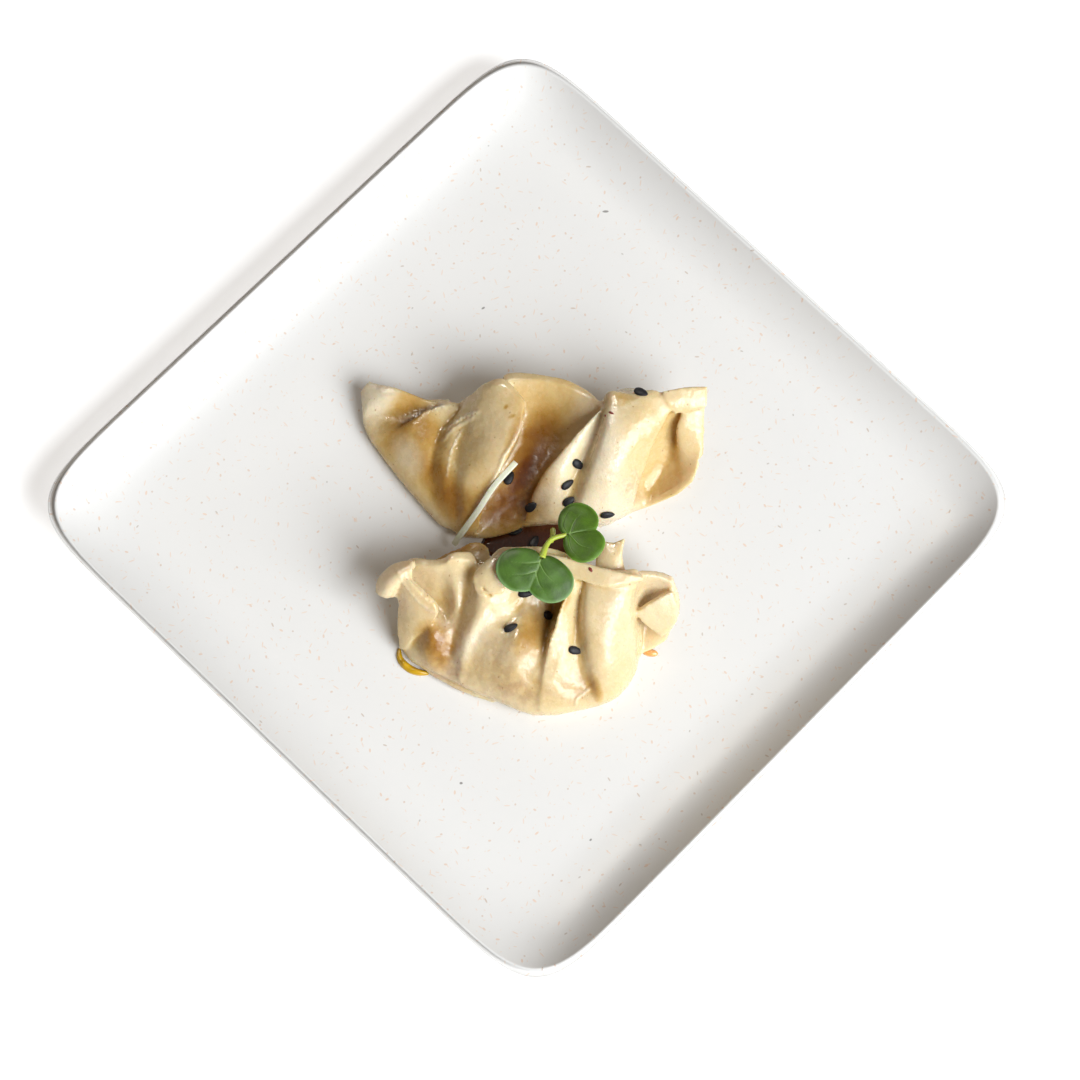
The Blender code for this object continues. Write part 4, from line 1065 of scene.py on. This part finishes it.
def leaf_shape(spec):
    """A heart-shaped leaf round the end of its stalk.

    Its two faces, how much of a vein each point is, and how near it is to the edge.
    """
    angles = np.array(spec.outline)[:, 0]
    turns = np.linspace(-angles[-1], angles[-1], LEAF_ANGLES + 1)
    reach = smooth(spec.outline, 10)
    radii = spec.reach * np.interp(np.abs(turns), reach[:, 0], reach[:, 1])
    shares = np.linspace(0.04, 1, LEAF_RINGS + 1)
    turn, share = np.radians(turns)[:, None], shares[None, :]
    edge = 1 + 0.012 * np.sin(5 * turn + spec.reach) * share**4
    x = radii[:, None] * share * np.cos(turn) * edge
    y = radii[:, None] * share * np.sin(turn) * edge
    cup = 0.55 * np.abs(np.sin(turn)) * share - spec.droop * share**2 * (0.6 + 0.4 * np.sin(turn) ** 2)
    flat = np.stack((x, y), axis=-1).reshape(-1, 2)
    vein = np.zeros(len(flat))
    for route, width in spec.veins:
        gap, along = distance_to(flat, np.array(route) * spec.reach)
        vein = np.maximum(vein, np.exp(-((gap / (width * (1.2 - 0.7 * along))) ** 2)) * (1 - 0.5 * along))
    vein = vein.reshape(x.shape)
    waves = 0.1 * np.sin(x * 1.1 + 1) * np.cos(y * 1.3) * share
    middle = np.stack((x, y, cup + waves - 0.16 * vein), axis=-1)
    thin = np.clip((1 - share) / 0.12, 0.25, 1)[..., None] ** 0.5
    out = LEAF_THICKNESS / 2 * normals_of(middle) * thin
    return middle + out, middle - out, vein, np.broadcast_to(share, x.shape)


def leaf_mesh(name, spec):
    top, under, vein, share = leaf_shape(spec)
    points, faces = shell_between(top, under)
    turned = Matrix.Rotation(math.radians(spec.heading), 3, "Z")
    turned = turned @ Matrix.Rotation(math.radians(spec.pitch), 3, "Y")
    turned = turned @ Matrix.Rotation(math.radians(spec.roll), 3, "X")
    points = points @ np.array(turned).T + spec.joint
    mesh = mesh_from(name, on_frame(points), faces)
    paint(mesh, "vein", np.tile(vein.ravel(), 2))
    paint(mesh, "rim", np.tile(np.clip(1 - (1 - share.ravel()) / LEAF_RIM, 0, 1), 2))
    return mesh


def stem_mesh(name, route, radii):
    """A stalk along a route, whose radius changes from end to end."""
    turns = np.linspace(0, 2 * math.pi, STALK_SIDES, endpoint=False)
    circle = [(math.cos(turn), math.sin(turn)) for turn in turns]
    points, faces = sweep(route, circle, 14, radii)
    return mesh_from(name, on_frame(points), faces)


def bead(line, widths, height, unevenness=0.0):
    """A low bead of sauce along a line on the plate, rounded on top and flat below."""
    ahead = np.gradient(line, axis=0)
    ahead /= np.linalg.norm(ahead, axis=1)[:, None]
    across = np.stack((-ahead[:, 1], ahead[:, 0]), axis=1)
    rows = []
    for turn in np.linspace(0, math.pi, BEAD_SIDES + 1):
        flat = line + across * (widths * math.cos(turn))[:, None]
        rise = height * math.sin(turn) * widths / widths.max()
        rows.append(np.column_stack((flat, rise)))
    grid = np.array(rows)
    wobble = lumps(grid.reshape(-1, 3), 1.6, 4).reshape(grid.shape[:2])
    grid[..., 2] *= 1 + unevenness * wobble
    faces = grid_faces(BEAD_SIDES + 1, len(line), closed=True)
    ends = [tuple(k * len(line) + end for k in range(BEAD_SIDES + 1)) for end in (0, len(line) - 1)]
    return grid.reshape(-1, 3), faces + ends


def pool_shell(outline, height):
    """A thin pool within an outline, highest in the middle and thin at its edge."""
    edge = smooth(list(outline) + [outline[0]], 8)[:-1]
    middle = edge.mean(axis=0)
    rows = []
    for share in np.linspace(1, 0.02, POOL_RINGS):
        rise = height * (1 - share**6) ** 0.5
        rows.append(np.column_stack((middle + (edge - middle) * share, np.full(len(edge), rise))))
    grid = np.array(rows).transpose(1, 0, 2)
    columns = grid.shape[1]
    faces = grid_faces(len(edge), columns, closed=True)
    faces += [tuple(k * columns for k in range(len(edge)))]
    faces += [tuple(k * columns + columns - 1 for k in range(len(edge)))]
    return grid.reshape(-1, 3), faces


# Finishes


def fibres(finish, place, spacing, length, width, share):
    """A mask of short fibres, one in each cell of this size seen from above, in this share of the cells.

    Each is turned at random. The cell's own random colour comes with the mask.
    """
    inputs = {"Vector": place, "Scale": 1 / spacing, "Randomness": 1.0}
    voronoi = finish.node("TexVoronoi", {"voronoi_dimensions": "2D"}, inputs)
    cell = Signal(finish, voronoi.socket.node.outputs["Color"])
    centre = Signal(finish, voronoi.socket.node.outputs["Position"])
    x, y, _ = finish.parts("SeparateXYZ", place - centre)
    red, green, blue = finish.parts("SeparateColor", cell)
    turn = red * 2 * math.pi
    sine, cosine = (finish.node("Math", {"operation": name}, [turn]) for name in ("SINE", "COSINE"))
    along = (x * cosine + y * sine) / (length * (0.35 + 0.65 * green))
    across = (y * cosine - x * sine) / width
    reach = along * along + across * across
    return finish.step(reach, 1.2, 0.5) * finish.step(blue, 1 - share, 1 - share + 0.01), cell


def plate_finish(look):
    finish = Finish("plate_fibre")
    place = finish.place()
    cloud = finish.grain(place, 0.02, 4)
    colour = finish.mix(cloud, look.colour, [tone * 0.965 for tone in look.colour])
    tan, brown, orange, grey = (0.72, 0.5, 0.3), (0.48, 0.27, 0.13), (0.8, 0.4, 0.14), (0.33, 0.31, 0.28)
    for spacing, length, width, share, strength, tones in (
        (0.0042, 0.0009, 0.00016, 0.75, 0.30, (tan, orange)),
        (0.0061, 0.0006, 0.00026, 0.7, 0.4, (brown, orange)),
        (0.0027, 0.0004, 0.00015, 0.7, 0.22, (tan, orange)),
        (0.0150, 0.0007, 0.00020, 0.6, 0.5, (grey, brown)),
    ):
        mask, cell = fibres(finish, place + (spacing, 2 * spacing, 0.5), spacing, length, width, share)
        pick = finish.parts("SeparateColor", cell)[1]
        colour = finish.mix(mask * strength, colour, finish.mix(pick, *tones))
    for x, y, length, width, turn in PLATE_MARKS:
        spot = on_frame((x, y, FLOOR))
        angle = turn + SERVING_TURN
        across, along, _ = finish.parts("SeparateXYZ", place - tuple(spot))
        ahead = (across * math.cos(angle) + along * math.sin(angle)) / (length * MM / 2)
        aside = (along * math.cos(angle) - across * math.sin(angle)) / (width * MM / 2)
        mark = finish.step(ahead * ahead + aside * aside, 1.3, 0.5)
        colour = finish.mix(mark * 0.75, colour, (0.12, 0.11, 0.1))
    ripple = finish.grain(place, 0.0035, 2)
    pits = finish.grain(place, 0.0004, 2)
    return finish.surface(
        base_color=colour,
        roughness=look.roughness + 0.08 * cloud,
        normal=finish.bump(pits, 0.00001, finish.bump(ripple, 0.00004)),
        specular_ior_level=0.45,
    )


def dough_finish(name, look, deep):
    """Steamed dough: cream where it is thick, amber where it is thin, brown where filling or sauce shows,
    with painted shade in its folds and on parts turned from the light, and a painted sheen on milky
    patches.
    """
    finish = Finish(name)
    place = finish.place()
    valley, crease = finish.attribute("valley"), finish.attribute("crease")
    cloud = finish.grain(place, 0.007, 4, 0.55)
    mottle = finish.grain(place, 0.0016, 3)
    # fold: painted shade in the wide valleys
    fold = finish.step(valley + 0.3 * cloud, 0.1, 1.0)
    stain = finish.attribute("stain")
    uneven = 0.75 + 0.25 * finish.step(cloud, 0.3, 0.65)
    colour = finish.mix(finish.step(cloud, 0.35, 0.7) * 0.5, look.colour, look.thin_colour)
    # Where filling shows through, and painted shade on faces turned from the light
    meat_and_shade = finish.attribute("filling") * (0.4 + 0.6 * finish.step(mottle, 0.35, 0.65))
    colour = finish.mix(meat_and_shade * 0.75, colour, look.filling_colour)
    # Tint depth: amber and stain patches, partly painted shade, then painted shade in valleys and creases
    depth = (finish.attribute("amber") + stain) * uneven
    depth = depth + 0.6 * deep * fold + 0.2 * finish.step(crease, 0.03, 0.2)
    colour = finish.tinted(colour, depth, look.tint)
    # Paler at torn edges and raised lines, and a painted sheen on milky patches
    colour = finish.mix(finish.attribute("pale") * 0.7, colour, look.pale_colour)
    for spacing, size, tone in ((0.0045, 0.00022, (0.34, 0.16, 0.04)), (0.0021, 0.0001, (0.45, 0.27, 0.1))):
        dots, _ = fibres(finish, place + (spacing, 0.3, spacing), spacing, size * 1.2, size, 0.5)
        colour = finish.mix(dots * 0.55, colour, tone)
    film = finish.step(finish.grain(place, 0.0014, 4), 0.35, 0.65)
    height = 0.4 * finish.grain(place, 0.0012, 3) + 0.6 * finish.grain(place, 0.0004, 2)
    height = height * (0.7 + finish.attribute("pale"))
    return finish.surface(
        base_color=colour,
        roughness=look.roughness + 0.22 * film + 0.1 * stain,
        normal=finish.bump(height, look.grain),
        subsurface_weight=look.clearness,
        subsurface_radius=(1.0, 0.5, 0.22),
        subsurface_scale=0.004,
        specular_ior_level=0.5,
    )


def seed_finish(look):
    finish = Finish("black_sesame")
    place = finish.place()
    ridges = finish.grain(place, 0.00022, 3)
    tone = finish.mix(finish.grain(place, 0.0009, 2), look.colour, [2.2 * part for part in look.colour])
    return finish.surface(
        base_color=tone,
        roughness=0.36 + 0.2 * ridges,
        normal=finish.bump(ridges, 0.00006),
        specular_ior_level=0.3,
    )


def fleck_finish():
    finish = Finish("dried_chilli")
    place = finish.place()
    skin = finish.grain(place, 0.0003, 3)
    return finish.surface(
        base_color=finish.mix(skin, (0.12, 0.008, 0.004), (0.28, 0.03, 0.012)),
        roughness=0.4,
        normal=finish.bump(skin, 0.00005),
    )


def leaf_finish(name, colour, rim_colour, look):
    finish = Finish(name)
    place = finish.place()
    vein, rim = finish.attribute("vein"), finish.attribute("rim")
    cloud = finish.grain(place, 0.004, 3)
    cells = finish.grain(place, 0.00035, 2)
    base = finish.mix(finish.step(cloud, 0.3, 0.7), [0.5 * part for part in colour], colour)
    base = finish.mix(cells * 0.25, base, [1.5 * part for part in colour])
    base = finish.mix(finish.step(vein, 0.25, 0.95) * 0.6, base, look.vein_colour)
    base = finish.mix(rim * 0.5, base, rim_colour)
    return finish.surface(
        base_color=base,
        roughness=0.36 + 0.18 * cloud,
        normal=finish.bump(cells, 0.00005),
        specular_ior_level=0.35,
        subsurface_weight=0.15,
        subsurface_radius=(0.4, 1.0, 0.2),
        subsurface_scale=0.001,
    )


def stalk_finish(look):
    finish = Finish("sprout_stalk")
    place = finish.place()
    streak = finish.grain(place * (1, 1, 0.3), 0.0006, 3)
    return finish.surface(
        base_color=finish.mix(streak, look.stalk_colour, [0.7 * part for part in look.stalk_colour]),
        roughness=0.38,
        normal=finish.bump(streak, 0.00006),
        subsurface_weight=0.4,
        subsurface_radius=(0.6, 1.0, 0.25),
        subsurface_scale=0.0015,
    )


def shred_finish():
    finish = Finish("spring_onion")
    place = finish.place()
    cells = finish.grain(place, 0.0005, 3)
    rings = finish.grain(place * (1, 1, 3), 0.0011, 2)
    colour = finish.mix(rings, (0.66, 0.68, 0.5), (0.78, 0.79, 0.66))
    return finish.surface(
        base_color=colour,
        roughness=0.3 + 0.2 * cells,
        normal=finish.bump(cells, 0.00008),
        subsurface_weight=0.4,
        subsurface_radius=(0.8, 1.0, 0.6),
        subsurface_scale=0.0015,
    )


def sauce_finish(name, colour, dark, roughness, clearness=0.0, gloss=0.5):
    finish = Finish(name)
    place = finish.place()
    swirl = finish.grain(place, 0.0022, 3, distortion=0.6)
    return finish.surface(
        base_color=finish.mix(swirl, colour, dark),
        roughness=roughness + 0.08 * swirl,
        normal=finish.bump(finish.grain(place, 0.0008, 2), 0.00006),
        subsurface_weight=clearness,
        subsurface_radius=(1.0, 0.5, 0.1),
        subsurface_scale=0.001,
        coat_weight=gloss,
        coat_roughness=0.08,
    )


# What a user would change


def length_of(name, description, millimetres):
    return FloatProperty(name=name, description=description, default=millimetres * MM, unit="LENGTH",
                         precision=5, min=0)  # fmt: skip


def power_of(name, description, watts):
    return FloatProperty(name=name, description=description, default=watts, unit="POWER", min=0)


def share_of(name, description, value):
    return FloatProperty(name=name, description=description, default=value, min=0, max=1, subtype="FACTOR")


def colour_of(name, description, value):
    return FloatVectorProperty(name=name, description=description, default=value, size=3, min=0, max=1,
                               subtype="COLOR")  # fmt: skip


class PlateLook(bpy.types.PropertyGroup):
    """The plate's finish."""

    colour: colour_of("Colour", "Colour of the pressed fibre", (0.80, 0.79, 0.775))
    roughness: share_of("Roughness", "How dull the satin surface is", 0.36)


class DoughLook(bpy.types.PropertyGroup):
    """The steamed dough of both dumplings."""

    voxel: length_of("Fineness", "Size of the smallest detail in the dough's skin", 0.36)
    colour: colour_of("Dough", "Thick, well lit dough", (0.755, 0.612, 0.37))
    thin_colour: colour_of("Thin dough", "Where the dough lets more light through", (0.70, 0.54, 0.28))
    # The tint also colours the painted shade in folds, creases and shaded patches
    tint: colour_of("Tint", "What the dough lets through in its folds and stains", (0.55, 0.35, 0.11))
    filling_colour: colour_of("Filling", "Where the filling shows through", (0.50, 0.32, 0.20))
    # The worn dough's colour is also the painted sheen on milky patches
    pale_colour: colour_of("Worn dough", "Torn edges and raised lines", (0.79, 0.705, 0.55))
    roughness: share_of("Roughness", "How dull the moist surface is", 0.13)
    clearness: share_of("Clearness", "How much light goes through the dough", 0.35)
    grain: length_of("Grain", "Depth of the fine grain on the surface", 0.1)


class SesameLook(bpy.types.PropertyGroup):
    """The black sesame seeds."""

    length: length_of("Length", "Length of a seed", 3.5)
    width: length_of("Width", "Width of a seed", 2.2)
    thickness: length_of("Thickness", "Thickness of a seed", 1.1)
    colour: colour_of("Colour", "Colour of the seed coat", (0.008, 0.008, 0.01))


class GreensLook(bpy.types.PropertyGroup):
    """The sprout."""

    near_colour: colour_of("Near leaf", "Colour of the leaf on the lower dumpling", (0.066, 0.15, 0.012))
    far_colour: colour_of("Far leaf", "Colour of the leaf between the dumplings", (0.075, 0.165, 0.004))
    vein_colour: colour_of("Veins", "Colour of the leaves' veins", (0.3, 0.46, 0.15))
    stalk_colour: colour_of("Stalk", "Colour of the stalk", (0.48, 0.56, 0.06))


class SauceLook(bpy.types.PropertyGroup):
    """The sauces."""

    pool_colour: colour_of("Pool", "Sauce between the dumplings", (0.11, 0.025, 0.008))
    mustard_colour: colour_of("Mustard", "Mustard at the near dumpling's foot", (0.62, 0.36, 0.004))
    drop_colour: colour_of("Drop", "Drop of thin sauce on the plate", (0.85, 0.42, 0.14))


class StudioLook(bpy.types.PropertyGroup):
    """Light and floor."""

    key_power: power_of("Key light", "Power of the soft window light", 57)
    key_size: length_of("Key size", "Side of the soft window light", 1300)
    key_colour: colour_of("Key colour", "Colour of the soft window light", (0.93, 0.97, 1.0))
    sheen_power: power_of("Sheen light", "Power of the light that shows on the moist dough", 9)
    sheen_size: length_of("Sheen size", "Side of the light that shows on the moist dough", 220)
    sheen_colour: colour_of("Sheen colour", "Colour of that light", (1.0, 0.95, 0.86))
    fill: FloatProperty(name="Fill", description="Strength of the light from all round", default=0.2, min=0)
    fill_colour: colour_of("Fill colour", "Colour of the light from all round", (1.0, 0.86, 0.72))
    floor_colour: colour_of("Floor", "Colour of the floor", (0.93, 0.93, 0.93))


# One operator for each piece or group of like pieces


def mesh_of(name):
    """The mesh of a piece that other pieces lie on, which has to be there first."""
    piece = bpy.data.objects.get(name)
    if piece is None:
        raise RuntimeError(f"{name} comes first, because other pieces lie on it")
    return piece.data


class GYOZA_OT_plate(bpy.types.Operator):
    """Builds the square plate with its turned-up sides and speckled fibre."""

    bl_idname = "gyoza.plate"
    bl_label = "Plate"

    def execute(self, context):
        finish = plate_finish(context.scene.plate_look)
        new_piece("square_plate", plate_mesh(), finish, ("plate",))
        return {"FINISHED"}


class GYOZA_OT_dumplings(bpy.types.Operator):
    """Builds the skins of the two pleated dumplings."""

    bl_idname = "gyoza.dumplings"
    bl_label = "Dumplings"

    def execute(self, context):
        look = context.scene.dough_look
        voxel = look.voxel / MM * 1
        upper = UPPER_FOLDS, UPPER_FLAPS, UPPER_CENTRE, UPPER_MARKS, UPPER_PATCHES
        lower = LOWER_FOLDS, LOWER_FLAPS, LOWER_CENTRE, LOWER_MARKS, LOWER_PATCHES
        # deep: how strongly painted shade darkens each dumpling's valleys
        for name, node, deep, shape in (
            ("upper_gyoza", "gyoza_far", 0.85, upper),
            ("lower_gyoza", "gyoza_near", 0.7, lower),
        ):
            mesh = dumpling_mesh(name, *shape, voxel)
            new_piece(name, mesh, dough_finish(name + "_dough", look, deep), (node,))
        return {"FINISHED"}


class GYOZA_OT_sesame(bpy.types.Operator):
    """Lays the black sesame and the chilli flecks on the dumplings and in the sauce."""

    bl_idname = "gyoza.sesame"
    bl_label = "Sesame and flecks"

    def execute(self, context):
        look = context.scene.sesame_look
        finish = seed_finish(look)
        chance = np.random.default_rng(5)
        upper, lower = surface_tree(mesh_of("upper_gyoza")), surface_tree(mesh_of("lower_gyoza"))
        pool = surface_tree(mesh_of("soy_pool"))
        for name, tree, seeds in (
            ("upper_sesame", upper, UPPER_SEEDS),
            ("lower_sesame", lower, LOWER_SEEDS),
            ("pool_sesame", pool, SAUCE_SEEDS),
        ):
            new_piece(name, seeds_mesh(name, tree, seeds, look, chance), finish)
        both = surface_tree(mesh_of("upper_gyoza"), mesh_of("lower_gyoza"))
        shells = []
        for x, y, turn, length, width in FLECKS:
            points, faces = fleck_shell(length, width, FLECK_THICKNESS, chance)
            shells.append((placed(laid_on(both, x, y, turn, FLECK_THICKNESS / 3), points), faces))
        new_piece("chilli_flecks", mesh_from("chilli_flecks", *joined(shells)), fleck_finish())
        return {"FINISHED"}


class GYOZA_OT_sprout(bpy.types.Operator):
    """Builds the sprout: two heart-shaped leaves with veins, and their stalk."""

    bl_idname = "gyoza.sprout"
    bl_label = "Sprout"

    def execute(self, context):
        look = context.scene.greens_look
        rims = {"leaf_near": (0.34, 0.55, 0.24), "leaf_far": (0.26, 0.48, 0.08)}
        colours = {"leaf_near": look.near_colour, "leaf_far": look.far_colour}
        for node, spec in LEAVES.items():
            finish = leaf_finish(node + "_blade", colours[node], rims[node], look)
            new_piece(node + "_blade", leaf_mesh(node, spec), finish, (node,))
        green = stalk_finish(look)
        new_piece("sprout_stalk", stem_mesh("stalk", STALK_ROUTE, STALK_RADII), green, ("stalk",))
        new_piece("sprout_stub", stem_mesh("stub", STUB_ROUTE, STUB_RADII), green)
        return {"FINISHED"}


class GYOZA_OT_shred(bpy.types.Operator):
    """Lays the shred of spring onion across the upper dumpling."""

    bl_idname = "gyoza.shred"
    bl_label = "Shred"

    def execute(self, context):
        corners = np.linspace(0, 2 * math.pi, 16, endpoint=False)
        outline = [
            (SHRED_WIDTH / 2 * math.copysign(abs(math.cos(turn)) ** 0.4, math.cos(turn)),
             SHRED_DEPTH / 2 * math.copysign(abs(math.sin(turn)) ** 0.4, math.sin(turn)))
            for turn in corners
        ]  # fmt: skip
        points, faces = sweep(SHRED_ROUTE, outline, 16)
        laid_piece("onion_shred", points, faces, shred_finish(), ("shred",))
        return {"FINISHED"}


class GYOZA_OT_sauces(bpy.types.Operator):
    """Pours the sauce between the dumplings, and sets the mustard and the drop beside them."""

    bl_idname = "gyoza.sauces"
    bl_label = "Sauces"

    def execute(self, context):
        look = context.scene.sauce_look
        on_plate = (0, 0, FLOOR + REST_GAP)
        points, faces = pool_shell(POOL, POOL_HEIGHT)
        dark = [0.35 * part for part in look.pool_colour]
        pool = sauce_finish("soy_sauce", look.pool_colour, dark, 0.1)
        laid_piece("soy_pool", points + on_plate, faces, pool)
        route = even(smooth(DAB_ROUTE, 8), 40)
        widths = DAB_WIDTH / 2 * np.sin(np.linspace(0.2, math.pi - 0.2, len(route))) ** 0.6
        points, faces = bead(route, widths, DAB_HEIGHT, unevenness=0.25)
        deep = [0.8 * part for part in look.mustard_colour]
        mustard = sauce_finish("mustard_paste", look.mustard_colour, deep, 0.3, 0.2, gloss=0.1)
        laid_piece("mustard_dab", points + on_plate, faces, mustard, ("mustard",))
        length, width, height = DROP_SIZE
        along = np.linspace(-0.985, 0.985, 25)
        route = np.column_stack((DROP_CENTRE[0] + along * length / 2, DROP_CENTRE[1] - 0.3 * along))
        points, faces = bead(route, width / 2 * np.sqrt(1 - along**2), height)
        deep = [0.85 * part for part in look.drop_colour]
        thin = sauce_finish("thin_sauce", look.drop_colour, deep, 0.12, 0.5)
        laid_piece("sauce_drop", points + on_plate, faces, thin, ("drop",))
        return {"FINISHED"}


def soft_light(name, spot, power, size, colour):
    """A square soft light that points at the plate's middle."""
    data = bpy.data.lights.new(name, "AREA")
    data.energy, data.size, data.color = power, size, colour
    light = bpy.data.objects.new(name, data)
    bpy.context.scene.collection.objects.link(light)
    place = Vector(on_frame(spot))
    light.matrix_world = Matrix.Translation(place) @ place.to_track_quat("Z", "Y").to_matrix().to_4x4()
    return light


class GYOZA_OT_stage(bpy.types.Operator):
    """Sets the pale floor, the soft window light, the light from all round and the camera."""

    bl_idname = "gyoza.stage"
    bl_label = "Stage"

    def execute(self, context):
        scene = context.scene
        look = scene.studio_look
        scene.view_settings.view_transform = "Standard"
        bpy.ops.mesh.primitive_plane_add(size=STAGE_SIDE * MM, location=(0, 0, -STAGE_DROP * MM))
        floor = context.object
        floor.name = "floor"
        paper = Finish("floor_paper")
        fibre = paper.grain(paper.place(), 0.004, 3)
        tone = paper.mix(fibre, look.floor_colour, [0.985 * part for part in look.floor_colour])
        glow = {"emission_color": (1, 1, 1, 1), "emission_strength": STAGE_GLOW}
        floor.data.materials.append(paper.surface(base_color=tone, roughness=0.8, **glow))
        soft_light("window", KEY_PLACE, look.key_power, look.key_size, look.key_colour)
        sheen = soft_light("sheen", SHEEN_PLACE, look.sheen_power, look.sheen_size, look.sheen_colour)
        sheen.visible_diffuse = False
        world = bpy.data.worlds.new("room")
        world.use_nodes = True
        around = world.node_tree.nodes["Background"].inputs
        around["Color"].default_value = (*look.fill_colour, 1)
        around["Strength"].default_value = look.fill
        scene.world = world
        camera_data = bpy.data.cameras.new("camera")
        camera_data.lens = CAMERA_LENS
        camera_data.sensor_width = CAMERA_SENSOR
        camera_data.clip_start = 0.05
        camera = bpy.data.objects.new("camera", camera_data)
        scene.collection.objects.link(camera)
        place, aim = Vector(on_frame(CAMERA_PLACE)), Vector(on_frame(CAMERA_AIM))
        level = (place - aim).to_track_quat("Z", "Y").to_matrix().to_4x4()
        camera.matrix_world = Matrix.Translation(place) @ level @ Matrix.Rotation(CAMERA_ROLL, 4, "Z")
        scene.camera = camera
        return {"FINISHED"}


class GYOZA_PT_panel(bpy.types.Panel):
    """Lists the looks and the pieces in the 3D view's sidebar."""

    bl_idname = "GYOZA_PT_panel"
    bl_label = "Gyoza on a plate"
    bl_space_type = "VIEW_3D"
    bl_region_type = "UI"
    bl_category = "Gyoza"

    def draw(self, context):
        for name in LOOKS:
            box = self.layout.box()
            look = getattr(context.scene, name)
            box.label(text=name.replace("_", " ").capitalize())
            for setting in look.bl_rna.properties.keys()[1:]:
                if setting != "name":
                    box.prop(look, setting)
        for step in STEPS:
            self.layout.operator(step.bl_idname)


LOOKS = {
    "plate_look": PlateLook,
    "dough_look": DoughLook,
    "sesame_look": SesameLook,
    "greens_look": GreensLook,
    "sauce_look": SauceLook,
    "studio_look": StudioLook,
}
STEPS = (
    GYOZA_OT_plate,
    GYOZA_OT_dumplings,
    GYOZA_OT_sauces,
    GYOZA_OT_sesame,
    GYOZA_OT_sprout,
    GYOZA_OT_shred,
    GYOZA_OT_stage,
)


def register():
    for look in LOOKS.values():
        bpy.utils.register_class(look)
    for name, look in LOOKS.items():
        setattr(bpy.types.Scene, name, PointerProperty(type=look))
    for step in STEPS:
        bpy.utils.register_class(step)
    bpy.utils.register_class(GYOZA_PT_panel)


def unregister():
    bpy.utils.unregister_class(GYOZA_PT_panel)
    for step in reversed(STEPS):
        bpy.utils.unregister_class(step)
    for name in LOOKS:
        delattr(bpy.types.Scene, name)
    for look in reversed(LOOKS.values()):
        bpy.utils.unregister_class(look)


def main():
    register()
    for step in STEPS:
        family, name = step.bl_idname.split(".")
        getattr(getattr(bpy.ops, family), name)()
    bpy.context.view_layer.update()


if __name__ == "__main__":
    main()
